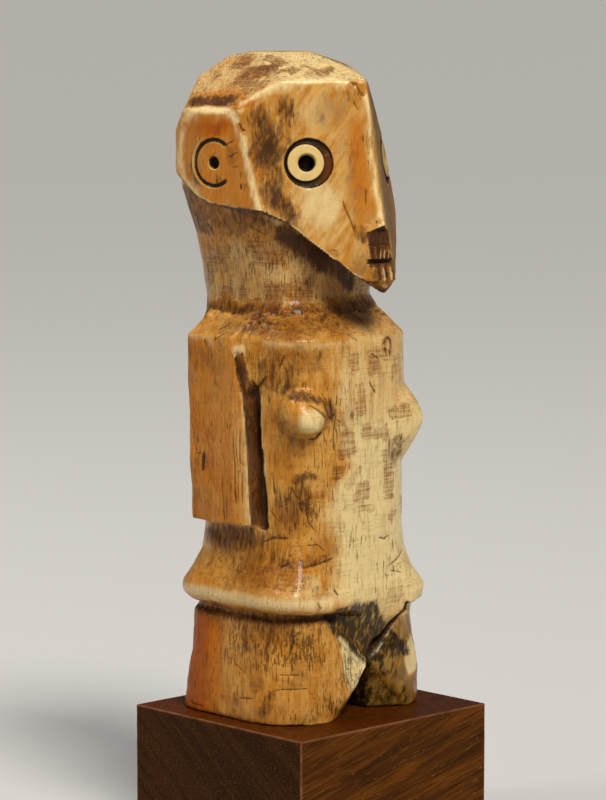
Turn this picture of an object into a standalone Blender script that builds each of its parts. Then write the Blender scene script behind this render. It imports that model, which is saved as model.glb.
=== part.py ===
"""Standing figure: a small ivory carving of one piece, standing on a hardwood block.

The figure faces -Y and its left side is at +X. The origin is at the middle of the block's underside.
Heights of the figure are taken from its soles, and all sizes are in millimetres until they meet MM.
"""

import math
from typing import NamedTuple

import bmesh
import bpy
from mathutils import Matrix, Vector

MM = 0.001

# The block
BASE_WIDTH = 55.2
BASE_DEPTH = 51.5
BASE_HEIGHT = 30.0
BASE_ARRIS = 0.4
SEAT_GAP = 0.3

# The figure
FIGURE_HEIGHT = 140.0
RING_POINTS = 56

# How far a cutting shape reaches past what it cuts
SPARE = 8.0
GROOVE_OVERRUN = 0.6
ON_PLANE = 1e-6
HEAD_REACH = 40.0

RIGHT, LEFT = -1.0, 1.0

# Linear colours
IVORY = (0.62, 0.34, 0.10)
IVORY_ROUGHNESS = 0.35
DARK_HARDWOOD = (0.055, 0.018, 0.008)
HARDWOOD_ROUGHNESS = 0.45


class Section(NamedTuple):
    """One cut through the tusk: a rounded rectangle that turns into an ellipse at squareness 2.

    The cut lies level, or drops to the left by the slope of fall.
    """

    height: float
    half_width: float
    half_depth: float
    centre_y: float
    squareness: float
    fall: float = 0.0


HIP_FALL = 0.04

SOLE = Section(0.0, 23.0, 19.8, 3.1, 4.0)
ANKLE = Section(4.0, 22.8, 19.0, 2.5, 4.0)
KNEE = Section(12.0, 22.3, 18.4, 2.2, 3.8)
THIGH = Section(18.0, 21.6, 17.8, 2.5, 3.8)
HIP_GROOVE = Section(22.2, 21.2, 17.6, 2.6, 3.8, HIP_FALL)
HIP_LIP = Section(23.7, 22.9, 19.1, 2.2, 4.2, HIP_FALL)
HIP_CREST = Section(26.2, 23.6, 19.5, 2.1, 4.2, HIP_FALL)
HIP_SLOPE = Section(30.0, 21.9, 18.7, 2.3, 3.4, HIP_FALL)
WAIST = Section(34.0, 20.8, 18.7, 2.4, 2.8)
BELLY = Section(39.0, 20.4, 18.5, 2.4, 2.6)
RIBS = Section(54.0, 20.7, 18.7, 2.4, 2.6)
CHEST = Section(68.0, 20.9, 18.9, 2.5, 2.7)
SHOULDER = Section(80.4, 20.6, 18.6, 2.6, 2.8)
SHOULDER_TOP = Section(81.4, 20.0, 18.1, 3.0, 2.8)
NECK_ROOT = Section(85.4, 16.9, 16.4, 5.9, 2.8)
NECK = Section(88.4, 16.0, 15.6, 7.2, 2.8)
NECK_MIDDLE = Section(96.0, 16.6, 16.6, 7.3, 2.8)
NAPE = Section(101.4, 17.2, 16.9, 7.3, 3.2)
SKULL_ROOT = Section(106.5, 18.6, 17.4, 7.4, 3.6)
SKULL = Section(112.0, 19.9, 15.9, 9.0, 4.0)
SKULL_INSIDE = Section(120.5, 19.0, 15.0, 9.4, 4.0)

BODY_SECTIONS = (
    SOLE, ANKLE, KNEE, THIGH, HIP_GROOVE, HIP_LIP, HIP_CREST, HIP_SLOPE, WAIST, BELLY, RIBS,
    CHEST, SHOULDER, SHOULDER_TOP, NECK_ROOT, NECK, NECK_MIDDLE, NAPE, SKULL_ROOT, SKULL,
    SKULL_INSIDE,
)

# Legs: the space between them, a wedge with a narrow flat for its apex, and the right shin's inner facet
GAP_HALF_WIDTH = 5.6
GAP_APEX = 12.2
GAP_CREST = 0.4
SHIN_KNEE = Vector((0.0, -17.2, 12.0))
SHIN_TOE = Vector((-4.6, -14.0, 0.0))
SHIN_OUTER_TOE = Vector((-9.7, -15.9, 0.0))

# Apron above the knees: a tongue of the belly, cut back on its right and parted from each thigh by a groove
THIGH_FRONT_Y = KNEE.centre_y - KNEE.half_depth
APRON_TOP = 22.4
APRON_RIGHT_X = -9.5
APRON_LEFT_X = 12.8
APRON_SET_BACK = 2.2
APRON_OVERLAP = 0.5
KNEE_ROUNDING = 1.0
BELLY_FACET_Y = -16.5
BELLY_FACET_X = (-1.5, 14.0)
BELLY_FACET_HEIGHTS = (15.0, 33.0)
RIGHT_GROIN_GROOVE = (1.2, 2.6)
LEFT_GROIN_GROOVE = (2.6, 3.6)

# Arms: two slabs that run down the sides, bevelled in front, each with a groove before it
ARM_OUTER_X = 23.6
ARM_INNER_X = 14.0
ARM_TOP = 80.8
ARM_BACK_Y = (12.4, 13.6)
ARM_HEIGHTS = (41.2, 69.0, 80.0)
RIGHT_ARM_FRONT_Y = (-4.8, -3.1, -0.6)
LEFT_ARM_FRONT_Y = (-3.2, -2.4, -0.6)
SHOULDER_FALL = 33.0
ARM_BEVEL_Y = -0.8
ARM_BEVEL_AZIMUTH = 67.0
ARM_GROOVE_WIDTH = 1.9
ARM_GROOVE_FLOOR_X = 18.0
ARM_GROOVE_TOP = 79.0
ARM_GROOVE_RUN_OUT = 12.0

# Breasts: blunt cones that point forward and outward, with the left one broader and lower
BREAST_TIP_RADIUS = 1.7
BREAST_LENGTH = 8.6
BREAST_AZIMUTH = 30.0
BREAST_SIDES = 20


class Breast(NamedTuple):
    """A blunt cone, by its tip, the radius of its base, and how far it droops."""

    tip: tuple
    base_radius: float
    droop: float


RIGHT_BREAST = Breast((-16.8, -17.0, 64.2), 5.9, 12.0)
LEFT_BREAST = Breast((16.7, -17.0, 61.9), 7.4, -2.0)

# Head: flat strokes of the knife, as (azimuth from the front, tilt above level, reach from HEAD_CENTRE)
HEAD_CENTRE = Vector((0.0, 6.0, 118.0))


class Facet(NamedTuple):
    """A flat stroke, by where it faces and how far from the head's middle it lies."""

    azimuth: float
    tilt: float
    reach: float


CHEEK = Facet(37.5, 8.4, 20.0)
TEMPLE = Facet(46.0, 7.0, 20.6)
EAR_SIDE = Facet(79.0, 0.0, 21.8)
BACK_CORNER = Facet(136.0, 0.0, 24.2)
BACK = Facet(180.0, 0.0, 19.0)
CROWN_TOP = Facet(0.0, 90.0, FIGURE_HEIGHT - HEAD_CENTRE.z)
CROWN_FRONT = Facet(37.5, 65.0, 22.2)
CROWN_SIDE = Facet(88.0, 50.0, 22.3)
CROWN_BACK_CORNER = Facet(136.0, 56.0, 24.9)
CROWN_RIM_BACK = Facet(136.0, 22.0, 24.5)
CROWN_BACK = Facet(180.0, 58.0, 24.0)
CROWN_TOP_BACK = Facet(136.0, 80.0, 23.05)
BROW_FRONT = Facet(0.0, 40.0, 28.2)
CHIN = Facet(55.0, -52.0, 31.1)
CROWN_FRONT_LEFT = Facet(46.0, 71.0, 22.0)
WORN_LEFT_BROW = Facet(52.5, 42.4, 21.3)
LEFT_CHEEK_TOP = Facet(48.0, 17.0, 19.5)
LEFT_CHEEK_BACK = Facet(48.0, 11.8, 19.5)

PAIRED_FACETS = (
    CHEEK, TEMPLE, EAR_SIDE, BACK_CORNER, BACK, CROWN_TOP, CROWN_SIDE, CROWN_BACK_CORNER,
    CROWN_RIM_BACK, CROWN_BACK, CROWN_TOP_BACK, BROW_FRONT, CHIN,
)
RIGHT_FACETS = (CROWN_FRONT,)
LEFT_FACETS = (CROWN_FRONT_LEFT, WORN_LEFT_BROW, LEFT_CHEEK_TOP, LEFT_CHEEK_BACK)

# The ears are what is left of the sides when the head is cut back above and behind them.
ABOVE_EAR = Facet(88.0, 33.0, 23.0)
EAR_TOP_LEDGE = Facet(88.0, 74.0, 15.6)
BEHIND_EAR = Facet(95.0, 0.0, 22.9)
EAR_BACK_LEDGE = Facet(172.0, 10.0, 5.4)

# Lower edge of the head, as (y, height), from the chin back under the ear
JAW_PROFILE = (
    (-24.5, 89.2),
    (-21.9, 90.6),
    (-9.0, 105.0),
    (-5.0, 107.2),
    (1.0, 107.5),
    (7.0, 108.2),
    (12.0, 110.0),
    (16.0, 112.8),
    (30.0, 121.0),
)

# Face profile on the middle line, as (y, height), from the forehead down to the chin
FACE_PROFILE = (
    (-17.9, 134.5),
    (-17.4, 126.0),
    (-17.9, 119.5),
    (-19.6, 112.5),
    (-22.2, 104.6),
    (-22.1, 103.9),
    (-20.4, 102.7),
    (-20.6, 100.7),
    (-21.7, 100.2),
    (-22.0, 97.3),
    (-20.8, 96.8),
    (-20.8, 96.1),
    (-22.2, 95.7),
    (-22.9, 92.4),
    (-22.0, 89.8),
)
FACE_HALF_WIDTH = 12.0

# Ring-and-dot eyes and ears, drilled with one tool, each at a (y, height) on its facet
EYE_POSITION = (-11.0, 117.6)
EYE_RING_RADIUS = 5.2
EYE_DISC_SHIFT = 0.65
PUPIL_SHIFT = 0.4
EYE_DOT_RADIUS = 1.75
EAR_RING_POSITION = (6.2, 117.4)
EAR_RING_RADIUS = 5.1
EAR_DOT_RADIUS = 1.3
RING_INNER_RADIUS = 3.95
RING_DEPTH = 0.6
DOT_DEPTH = 1.8
RING_SIDES = 32


# Shared steps ----------------------------------------------------------------------------------------


def clear_scene():
    for old in list(bpy.data.objects):
        bpy.data.objects.remove(old, do_unlink=True)


def new_collection(name):
    collection = bpy.data.collections.new(name)
    bpy.context.scene.collection.children.link(collection)
    return collection


def new_material(name, colour, roughness):
    material = bpy.data.materials.new(name)
    material.use_nodes = True
    shader = material.node_tree.nodes["Principled BSDF"]
    shader.inputs["Base Color"].default_value = (*colour, 1.0)
    shader.inputs["Roughness"].default_value = roughness
    shader.inputs["Metallic"].default_value = 0.0
    material.diffuse_color = (*colour, 1.0)
    return material


def object_from(bm, name, collection):
    """Turn the mesh of an open bmesh, in millimetres, into an object in metres."""
    bmesh.ops.scale(bm, vec=(MM, MM, MM), verts=bm.verts)
    bmesh.ops.recalc_face_normals(bm, faces=bm.faces)
    mesh = bpy.data.meshes.new(name)
    bm.to_mesh(mesh)
    bm.free()
    made = bpy.data.objects.new(name, mesh)
    collection.objects.link(made)
    return made


def mark_as_tool(tool):
    tool.hide_render = True
    tool.display_type = "WIRE"


def box(size, centre):
    """A box in an open bmesh, of the given size and middle."""
    bm = bmesh.new()
    bmesh.ops.create_cube(bm, size=1.0)
    bmesh.ops.scale(bm, vec=size, verts=bm.verts)
    bmesh.ops.translate(bm, vec=centre, verts=bm.verts)
    return bm


def cut_flat(bm, point, normal):
    """Cut away all that lies beyond a plane, and close the cut."""
    everything = bm.verts[:] + bm.edges[:] + bm.faces[:]
    result = bmesh.ops.bisect_plane(
        bm, geom=everything, dist=ON_PLANE, plane_co=point, plane_no=normal, clear_outer=True
    )
    rim = [part for part in result["geom_cut"] if isinstance(part, bmesh.types.BMEdge)]
    if rim:
        bmesh.ops.edgeloop_fill(bm, edges=rim)


def prism(outline, half_length, across):
    """A prism with an outline of two coordinates, drawn out to both sides along the axis across."""
    bm = bmesh.new()
    ends = []
    for side in (-1.0, 1.0):
        corners = [bm.verts.new(across(first, second, side * half_length)) for first, second in outline]
        ends.append(corners)
        bm.faces.new(corners)
    count = len(outline)
    for index in range(count):
        following = (index + 1) % count
        bm.faces.new((ends[0][index], ends[0][following], ends[1][following], ends[1][index]))
    return bm


def along_x(y, z, x):
    return (x, y, z)


def along_y(x, z, y):
    return (x, y, z)


# The body ----------------------------------------------------------------------------------------------


def signed_power(value, power):
    return math.copysign(abs(value) ** power, value)


def ring_point(section, turn):
    """A point of a section's outline, for a turn from 0 to 1 that starts at +X."""
    angle = 2.0 * math.pi * turn
    power = 2.0 / section.squareness
    x = section.half_width * signed_power(math.cos(angle), power)
    y = section.half_depth * signed_power(math.sin(angle), power)
    return (x, section.centre_y + y, section.height - section.fall * x)


def body_loft():
    """The tusk from the soles to the root of the skull, one ring of points for each section."""
    bm = bmesh.new()
    rings = []
    for section in BODY_SECTIONS:
        ring = [bm.verts.new(ring_point(section, index / RING_POINTS)) for index in range(RING_POINTS)]
        rings.append(ring)
    for lower, upper in zip(rings, rings[1:]):
        for index in range(RING_POINTS):
            following = (index + 1) % RING_POINTS
            bm.faces.new((lower[index], lower[following], upper[following], upper[index]))
    bm.faces.new(reversed(rings[0]))
    bm.faces.new(rings[-1])
    return bm


def arm_slab(side, front_y):
    """One arm: a slab that leans forward to the hand, with a falling shoulder and a bevelled front."""
    low, middle, high = ARM_HEIGHTS
    above = ARM_TOP + SPARE
    outline = (
        (ARM_BACK_Y[1], above), (ARM_BACK_Y[0], low), (front_y[0], low), (front_y[1], middle),
        (front_y[2], high), (front_y[2], above),
    )
    half_thickness = (ARM_OUTER_X - ARM_INNER_X) / 2.0
    bm = prism(outline, half_thickness, along_x)
    bmesh.ops.translate(bm, vec=(side * (ARM_OUTER_X - half_thickness), 0.0, 0.0), verts=bm.verts)
    fall = math.radians(SHOULDER_FALL)
    shoulder = Vector((side * ARM_OUTER_X, 0.0, ARM_TOP))
    cut_flat(bm, shoulder, Vector((side * math.sin(fall), 0.0, math.cos(fall))))
    bevel = math.radians(ARM_BEVEL_AZIMUTH)
    arris = Vector((side * ARM_OUTER_X, ARM_BEVEL_Y, ARM_TOP))
    cut_flat(bm, arris, Vector((side * math.sin(bevel), -math.cos(bevel), 0.0)))
    return bm


def arm_groove(side, front_y):
    """The groove before an arm: deep at the hand, running out below the shoulder."""
    low, middle, high = ARM_HEIGHTS
    behind = ((front_y[0], low - GROOVE_OVERRUN), (front_y[1], middle), (front_y[2], high))
    before = tuple((y - ARM_GROOVE_WIDTH, height) for y, height in reversed(behind))
    bm = prism((*behind, *before), SPARE, along_x)
    bmesh.ops.translate(bm, vec=(side * (ARM_GROOVE_FLOOR_X + SPARE), 0.0, 0.0), verts=bm.verts)
    rise = Vector((ARM_OUTER_X - ARM_GROOVE_FLOOR_X, 0.0, ARM_GROOVE_RUN_OUT))
    run_out = Vector((side * ARM_OUTER_X, 0.0, ARM_GROOVE_TOP))
    cut_flat(bm, run_out, Vector((-side * rise.z, 0.0, rise.x)).normalized())
    return bm


def breast(side, form):
    """One breast, built along +Z with its tip at the origin, then turned and set in place."""
    bm = bmesh.new()
    bmesh.ops.create_cone(
        bm, cap_ends=True, segments=BREAST_SIDES, radius1=form.base_radius, radius2=BREAST_TIP_RADIUS,
        depth=BREAST_LENGTH,
    )
    bmesh.ops.translate(bm, vec=(0.0, 0.0, -BREAST_LENGTH / 2.0), verts=bm.verts)
    azimuth = math.radians(BREAST_AZIMUTH)
    droop = math.radians(form.droop)
    pointing = Vector((side * math.sin(azimuth), -math.cos(azimuth), -math.sin(droop)))
    turn = pointing.to_track_quat("Z", "Y").to_matrix()
    bmesh.ops.rotate(bm, cent=(0.0, 0.0, 0.0), matrix=turn, verts=bm.verts)
    bmesh.ops.translate(bm, vec=form.tip, verts=bm.verts)
    return bm


def leg_gap():
    """The space between the legs: a wedge through the figure, open at the soles."""
    spread = GAP_HALF_WIDTH * (GAP_APEX + SPARE) / GAP_APEX
    outline = ((-spread, -SPARE), (spread, -SPARE), (GAP_CREST, GAP_APEX), (-GAP_CREST, GAP_APEX))
    return prism(outline, BASE_DEPTH, along_y)


def belly_facet():
    """The flat that runs from the belly into the apron and takes off the rim of the hips there."""
    right, left = BELLY_FACET_X
    bottom, top = BELLY_FACET_HEIGHTS
    size = (left - right, SPARE, top - bottom)
    return box(size, ((left + right) / 2.0, BELLY_FACET_Y - SPARE / 2.0, (top + bottom) / 2.0))


def apron_recess():
    """What is cut from the front of the apron: a wedge, deepest on the right and nothing on the left."""
    tip = (0.0, GAP_APEX - APRON_OVERLAP)
    bm = prism((tip, (APRON_LEFT_X, APRON_TOP), (APRON_RIGHT_X, APRON_TOP)), SPARE, along_y)
    bmesh.ops.translate(bm, vec=(0.0, THIGH_FRONT_Y, 0.0), verts=bm.verts)
    run = Vector((APRON_LEFT_X - APRON_RIGHT_X, -APRON_SET_BACK, 0.0))
    deepest = Vector((APRON_RIGHT_X, THIGH_FRONT_Y + APRON_SET_BACK, 0.0))
    cut_flat(bm, deepest, Vector((-run.y, run.x, 0.0)).normalized())
    return bm


def groin_groove(corner_x, groove):
    """The slanting groove from the top of the leg gap up to one corner of the apron."""
    width, depth = groove
    rise = APRON_TOP - GAP_APEX
    length = math.hypot(corner_x, rise) + APRON_OVERLAP
    bm = box((length, 2.0 * depth, width), (length / 2.0, 0.0, 0.0))
    slope = math.atan2(rise, corner_x)
    bmesh.ops.rotate(bm, cent=(0.0, 0.0, 0.0), matrix=Matrix.Rotation(-slope, 3, "Y"), verts=bm.verts)
    bmesh.ops.translate(bm, vec=(0.0, THIGH_FRONT_Y + KNEE_ROUNDING, GAP_APEX), verts=bm.verts)
    return bm


def inner_shin_cut():
    """The flat stroke that turns the front of the right shin towards the space between the legs."""
    bm = box((BASE_HEIGHT, BASE_HEIGHT, BASE_HEIGHT), (-BASE_HEIGHT / 2.0, -BASE_HEIGHT / 2.0, 0.0))
    normal = (SHIN_TOE - SHIN_KNEE).cross(SHIN_OUTER_TOE - SHIN_KNEE).normalized()
    cut_flat(bm, SHIN_KNEE, normal)
    return bm


# The head ----------------------------------------------------------------------------------------------


def facet_normal(facet, side):
    azimuth = math.radians(facet.azimuth)
    tilt = math.radians(facet.tilt)
    level = math.cos(tilt)
    return Vector((side * math.sin(azimuth) * level, -math.cos(azimuth) * level, math.sin(tilt)))


def carved_head():
    """The head before its ears, jaw and face: a block cut flat by each facet on both sides."""
    bm = box((2.0 * HEAD_REACH, 2.0 * HEAD_REACH, 2.0 * HEAD_REACH), HEAD_CENTRE)
    strokes = [(facet, RIGHT) for facet in (*PAIRED_FACETS, *RIGHT_FACETS)]
    strokes += [(facet, LEFT) for facet in (*PAIRED_FACETS, *LEFT_FACETS)]
    for facet, side in strokes:
        normal = facet_normal(facet, side)
        cut_flat(bm, HEAD_CENTRE + normal * facet.reach, normal)
    return bm


def cut_back(side, surface, ledge):
    """What is taken off the side of the head outside a surface, down to the ledge that an ear leaves."""
    bm = box((2.0 * HEAD_REACH, 2.0 * HEAD_REACH, 2.0 * HEAD_REACH), HEAD_CENTRE)
    for facet in (surface, ledge):
        normal = facet_normal(facet, side)
        cut_flat(bm, HEAD_CENTRE + normal * facet.reach, -normal)
    return bm


def jaw_cutter():
    """All that lies under the lower edge of the head."""
    bottom = HEAD_CENTRE.z - HEAD_REACH
    outline = [(-HEAD_REACH, JAW_PROFILE[0][1]), *JAW_PROFILE, (HEAD_REACH, JAW_PROFILE[-1][1])]
    outline += [(HEAD_REACH, bottom), (-HEAD_REACH, bottom)]
    return prism(outline, HEAD_REACH, along_x)


def face_cutter():
    """All that lies in front of the face's profile: brow, bridge, nose, lips and chin."""
    front = min(y for y, height in FACE_PROFILE) - SPARE
    top = FACE_PROFILE[0][1] + SPARE
    bottom = FACE_PROFILE[-1][1] - SPARE
    outline = [(FACE_PROFILE[0][0], top), *FACE_PROFILE, (FACE_PROFILE[-1][0], bottom)]
    outline += [(front, bottom), (front, top)]
    return prism(outline, FACE_HALF_WIDTH, along_x)


def turned_ring(outer_radius, inner_radius, depth, inner_shift):
    """A flat ring about +Z, as deep above as below; its inner wall may be off the middle."""
    bm = bmesh.new()
    corners = ((outer_radius, -depth), (outer_radius, depth), (inner_radius, depth), (inner_radius, -depth))
    loops = []
    for radius, height in corners:
        shift = inner_shift if radius == inner_radius else 0.0
        loop = []
        for index in range(RING_SIDES):
            angle = 2.0 * math.pi * index / RING_SIDES
            loop.append(bm.verts.new((shift + radius * math.cos(angle), radius * math.sin(angle), height)))
        loops.append(loop)
    for current, following in zip(loops, loops[1:] + loops[:1]):
        for index in range(RING_SIDES):
            beside = (index + 1) % RING_SIDES
            bm.faces.new((current[index], current[beside], following[beside], following[index]))
    return bm


def drill(depth, radius):
    bm = bmesh.new()
    bmesh.ops.create_cone(
        bm, cap_ends=True, segments=RING_SIDES, radius1=radius, radius2=radius, depth=2.0 * depth
    )
    return bm


def set_on_facet(bm, facet, side, position):
    """Move a tool from the origin to the spot (y, height) on a facet, with its +Z along the normal."""
    normal = facet_normal(facet, side)
    backward = Vector((0.0, 1.0, 0.0))
    tangent = (backward - normal * backward.dot(normal)).normalized()
    upward = tangent.cross(normal) * side
    start = HEAD_CENTRE + normal * facet.reach
    y, height = position
    # The spot is start + tangent * back + upward * rise, at the y and the height asked for.
    ahead = Matrix(((tangent.y, upward.y), (tangent.z, upward.z)))
    back, rise = ahead.inverted() @ Vector((y - start.y, height - start.z))
    middle = start + tangent * back + upward * rise
    turn = Matrix((tangent, upward * side, normal)).transposed()
    bmesh.ops.rotate(bm, cent=(0.0, 0.0, 0.0), matrix=turn, verts=bm.verts)
    bmesh.ops.translate(bm, vec=middle, verts=bm.verts)


# Putting it together -----------------------------------------------------------------------------------


def place_on_block(made):
    """The figure is made with its soles at height 0; this sets them on the block."""
    made.location = (0.0, 0.0, (BASE_HEIGHT + SEAT_GAP) * MM)


def head_cuts():
    """Name and mesh of each cut that shapes the head block."""
    yield "jaw_cut", jaw_cutter()
    yield "face_profile_cut", face_cutter()
    for word, side in (("right", RIGHT), ("left", LEFT)):
        yield f"above_ear_cut_{word}", cut_back(side, ABOVE_EAR, EAR_TOP_LEDGE)
        yield f"behind_ear_cut_{word}", cut_back(side, BEHIND_EAR, EAR_BACK_LEDGE)
        eye = turned_ring(EYE_RING_RADIUS, RING_INNER_RADIUS, RING_DEPTH, EYE_DISC_SHIFT)
        set_on_facet(eye, CHEEK, side, EYE_POSITION)
        yield f"eye_ring_cut_{word}", eye
        pupil = drill(DOT_DEPTH, EYE_DOT_RADIUS)
        bmesh.ops.translate(pupil, vec=(PUPIL_SHIFT, 0.0, 0.0), verts=pupil.verts)
        set_on_facet(pupil, CHEEK, side, EYE_POSITION)
        yield f"pupil_cut_{word}", pupil
        ring = turned_ring(EAR_RING_RADIUS, RING_INNER_RADIUS, RING_DEPTH, 0.0)
        set_on_facet(ring, EAR_SIDE, side, EAR_RING_POSITION)
        yield f"ear_ring_cut_{word}", ring
        hole = drill(DOT_DEPTH, EAR_DOT_RADIUS)
        set_on_facet(hole, EAR_SIDE, side, EAR_RING_POSITION)
        yield f"ear_hole_cut_{word}", hole


def body_unions():
    """Name and mesh of each form that stands out of the tusk below the head."""
    yield "arm_right", arm_slab(RIGHT, RIGHT_ARM_FRONT_Y)
    yield "arm_left", arm_slab(LEFT, LEFT_ARM_FRONT_Y)
    yield "breast_right", breast(RIGHT, RIGHT_BREAST)
    yield "breast_left", breast(LEFT, LEFT_BREAST)


def body_cuts():
    """Name and mesh of each form that is cut into the tusk below the head."""
    yield "arm_groove_cut_right", arm_groove(RIGHT, RIGHT_ARM_FRONT_Y)
    yield "arm_groove_cut_left", arm_groove(LEFT, LEFT_ARM_FRONT_Y)
    yield "belly_facet_cut", belly_facet()
    yield "apron_cut", apron_recess()
    yield "leg_gap_cut", leg_gap()
    yield "groin_cut_right", groin_groove(APRON_RIGHT_X, RIGHT_GROIN_GROOVE)
    yield "groin_cut_left", groin_groove(APRON_LEFT_X, LEFT_GROIN_GROOVE)
    yield "inner_shin_cut", inner_shin_cut()


def add_boolean(made, tool, operation):
    modifier = made.modifiers.new(tool.name, "BOOLEAN")
    modifier.operation = operation
    modifier.solver = "EXACT"
    modifier.object = tool


def shape_with(made, forms, operation, tools):
    """Join forms to an object, or cut them out of it."""
    for name, bm in forms:
        tool = object_from(bm, name, tools)
        place_on_block(tool)
        mark_as_tool(tool)
        add_boolean(made, tool, operation)


def build_head(tools):
    head = object_from(carved_head(), "head", tools)
    place_on_block(head)
    mark_as_tool(head)
    shape_with(head, head_cuts(), "DIFFERENCE", tools)
    return head


def build_figure(parts, tools):
    figure = object_from(body_loft(), "ivory_figure", parts)
    figure.data.materials.append(new_material("ivory", IVORY, IVORY_ROUGHNESS))
    place_on_block(figure)
    shape_with(figure, body_unions(), "UNION", tools)
    shape_with(figure, body_cuts(), "DIFFERENCE", tools)
    add_boolean(figure, build_head(tools), "UNION")
    return figure


def build_base(parts):
    size = (BASE_WIDTH, BASE_DEPTH, BASE_HEIGHT)
    base = object_from(box(size, (0.0, 0.0, BASE_HEIGHT / 2.0)), "wooden_base", parts)
    base.data.materials.append(new_material("dark_hardwood", DARK_HARDWOOD, HARDWOOD_ROUGHNESS))
    arris = base.modifiers.new("worn_arris", "BEVEL")
    arris.width = BASE_ARRIS * MM
    arris.segments = 2
    arris.limit_method = "ANGLE"
    return base


def main():
    clear_scene()
    parts = new_collection("standing_figure")
    tools = new_collection("carving_tools")
    build_base(parts)
    build_figure(parts, tools)


main()
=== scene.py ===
"""Standing ivory figure on its hardwood block, dressed: the carved surface, its patina and the wood.

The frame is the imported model. Lengths here are millimetres until they meet MM, and heights on the
figure are taken from its soles. The figure faces -Y; azimuths are degrees round its axis from the
front, positive to its left (+X).
"""

import math

import bmesh
import bpy
import numpy as np
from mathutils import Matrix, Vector, noise
from mathutils.bvhtree import BVHTree


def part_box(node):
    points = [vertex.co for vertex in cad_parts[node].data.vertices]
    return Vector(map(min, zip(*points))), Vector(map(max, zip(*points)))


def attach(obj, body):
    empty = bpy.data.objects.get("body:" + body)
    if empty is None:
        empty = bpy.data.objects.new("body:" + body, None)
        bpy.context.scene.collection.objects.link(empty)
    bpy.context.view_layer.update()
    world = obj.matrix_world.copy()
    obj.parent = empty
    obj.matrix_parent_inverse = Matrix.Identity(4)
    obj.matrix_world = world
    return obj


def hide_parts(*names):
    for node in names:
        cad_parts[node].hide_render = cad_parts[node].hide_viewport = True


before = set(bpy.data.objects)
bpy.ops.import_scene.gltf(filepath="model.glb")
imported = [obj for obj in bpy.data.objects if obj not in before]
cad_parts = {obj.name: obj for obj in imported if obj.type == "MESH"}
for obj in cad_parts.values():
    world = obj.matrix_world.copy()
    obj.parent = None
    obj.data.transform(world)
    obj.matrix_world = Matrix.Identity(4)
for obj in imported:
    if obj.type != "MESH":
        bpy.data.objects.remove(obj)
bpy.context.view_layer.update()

MM = 0.001
AXIS_Y = 2.4
MM_PER_DEGREE = 0.36
RIGHT, LEFT = -1, 1
SOLES = np.array((0, 0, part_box("ivory_figure")[0].z / MM))
FIGURE_LOW = np.array(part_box("ivory_figure")[0]) / MM - SOLES
FIGURE_HIGH = np.array(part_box("ivory_figure")[1]) / MM - SOLES
BLOCK_LOW = np.array(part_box("wooden_base")[0]) / MM
BLOCK_HIGH = np.array(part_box("wooden_base")[1]) / MM

# Heights of edges on the figure, and a distance beyond the reach of every mark, band and ring
UNDER_HIP = 22.4
HIP_EDGE = 25.4
NECK_ROOT = 84.6
JAW_BOTTOM = 88
FAR = 9.0

# How finely the surface is divided
FIRST_STEP = 0.3
EVEN_STEP = 0.42
MOST_TRIANGLES = 194000

# Head facets that carry the eyes and ears, as (azimuth, tilt, reach) from HEAD_CENTRE, as in the solids
HEAD_CENTRE = np.array((0, 6, 118))
CHEEK = (37.5, 8.4, 20)
EAR_SIDE = (79, 0, 21.8)
LEFT_CHEEK_TOP = (48, 17, 19.5)
LEFT_CHEEK_BACK = (48, 11.8, 19.5)

# The drilled rings and dots, at (y, height) on those facets
EYE_AT = (-11, 117.2)
EAR_AT = (6.2, 117)
RING_RADIUS = 5.15
RING_REACH = 2.2
DISC_RADIUS = 3.9
DISC_SHIFT = 0.65
PUPIL_RADIUS = 1.75
PUPIL_SHIFT = 0.4
PUPIL_DEPTH = 2.4
EAR_LINE_RADIUS = RING_RADIUS - 0.35
EAR_DOT_RADIUS = 1.2


# Arrays ----------------------------------------


def ramp(low, high, value):
    part = np.clip((value - low) / (high - low), 0, 1)
    return part * part * (3 - 2 * part)


def window(value, rise_low, rise_high, fall_low, fall_high):
    """1 between the two middle places, and falling softly to 0 at the outer two."""
    return ramp(rise_low, rise_high, value) * ramp(fall_high, fall_low, value)


def near_height(height, middle, reach):
    return np.exp(-((height - middle) / reach) ** 2)


def noise_at(points, size, seed, octaves=2, stretch=(1, 1, 1)):
    """Perlin noise of about -1 to 1 at each point, with lumps of the given size."""
    shift = Vector((seed * 17.3, seed * 5.1, seed * 11.7))
    scaled = points / (size * np.array(stretch))
    return np.array([noise.fractal(Vector(point) + shift, 1, 2, octaves) for point in scaled])


def direction(azimuth, tilt=0):
    level = math.cos(math.radians(tilt))
    turn = math.radians(azimuth)
    return np.array((math.sin(turn) * level, -math.cos(turn) * level, math.sin(math.radians(tilt))))


def read_points(mesh):
    flat = np.empty(len(mesh.vertices) * 3)
    mesh.vertices.foreach_get("co", flat)
    return flat.reshape(-1, 3)


def write_points(mesh, points):
    mesh.vertices.foreach_set("co", points.ravel())
    mesh.update()


def keep_values(mesh, name, values):
    """Store a value for each point of a mesh under a name that its material reads."""
    layer = mesh.attributes.new(name, "FLOAT", "POINT")
    layer.data.foreach_set("value", values.astype(np.float32))


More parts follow.
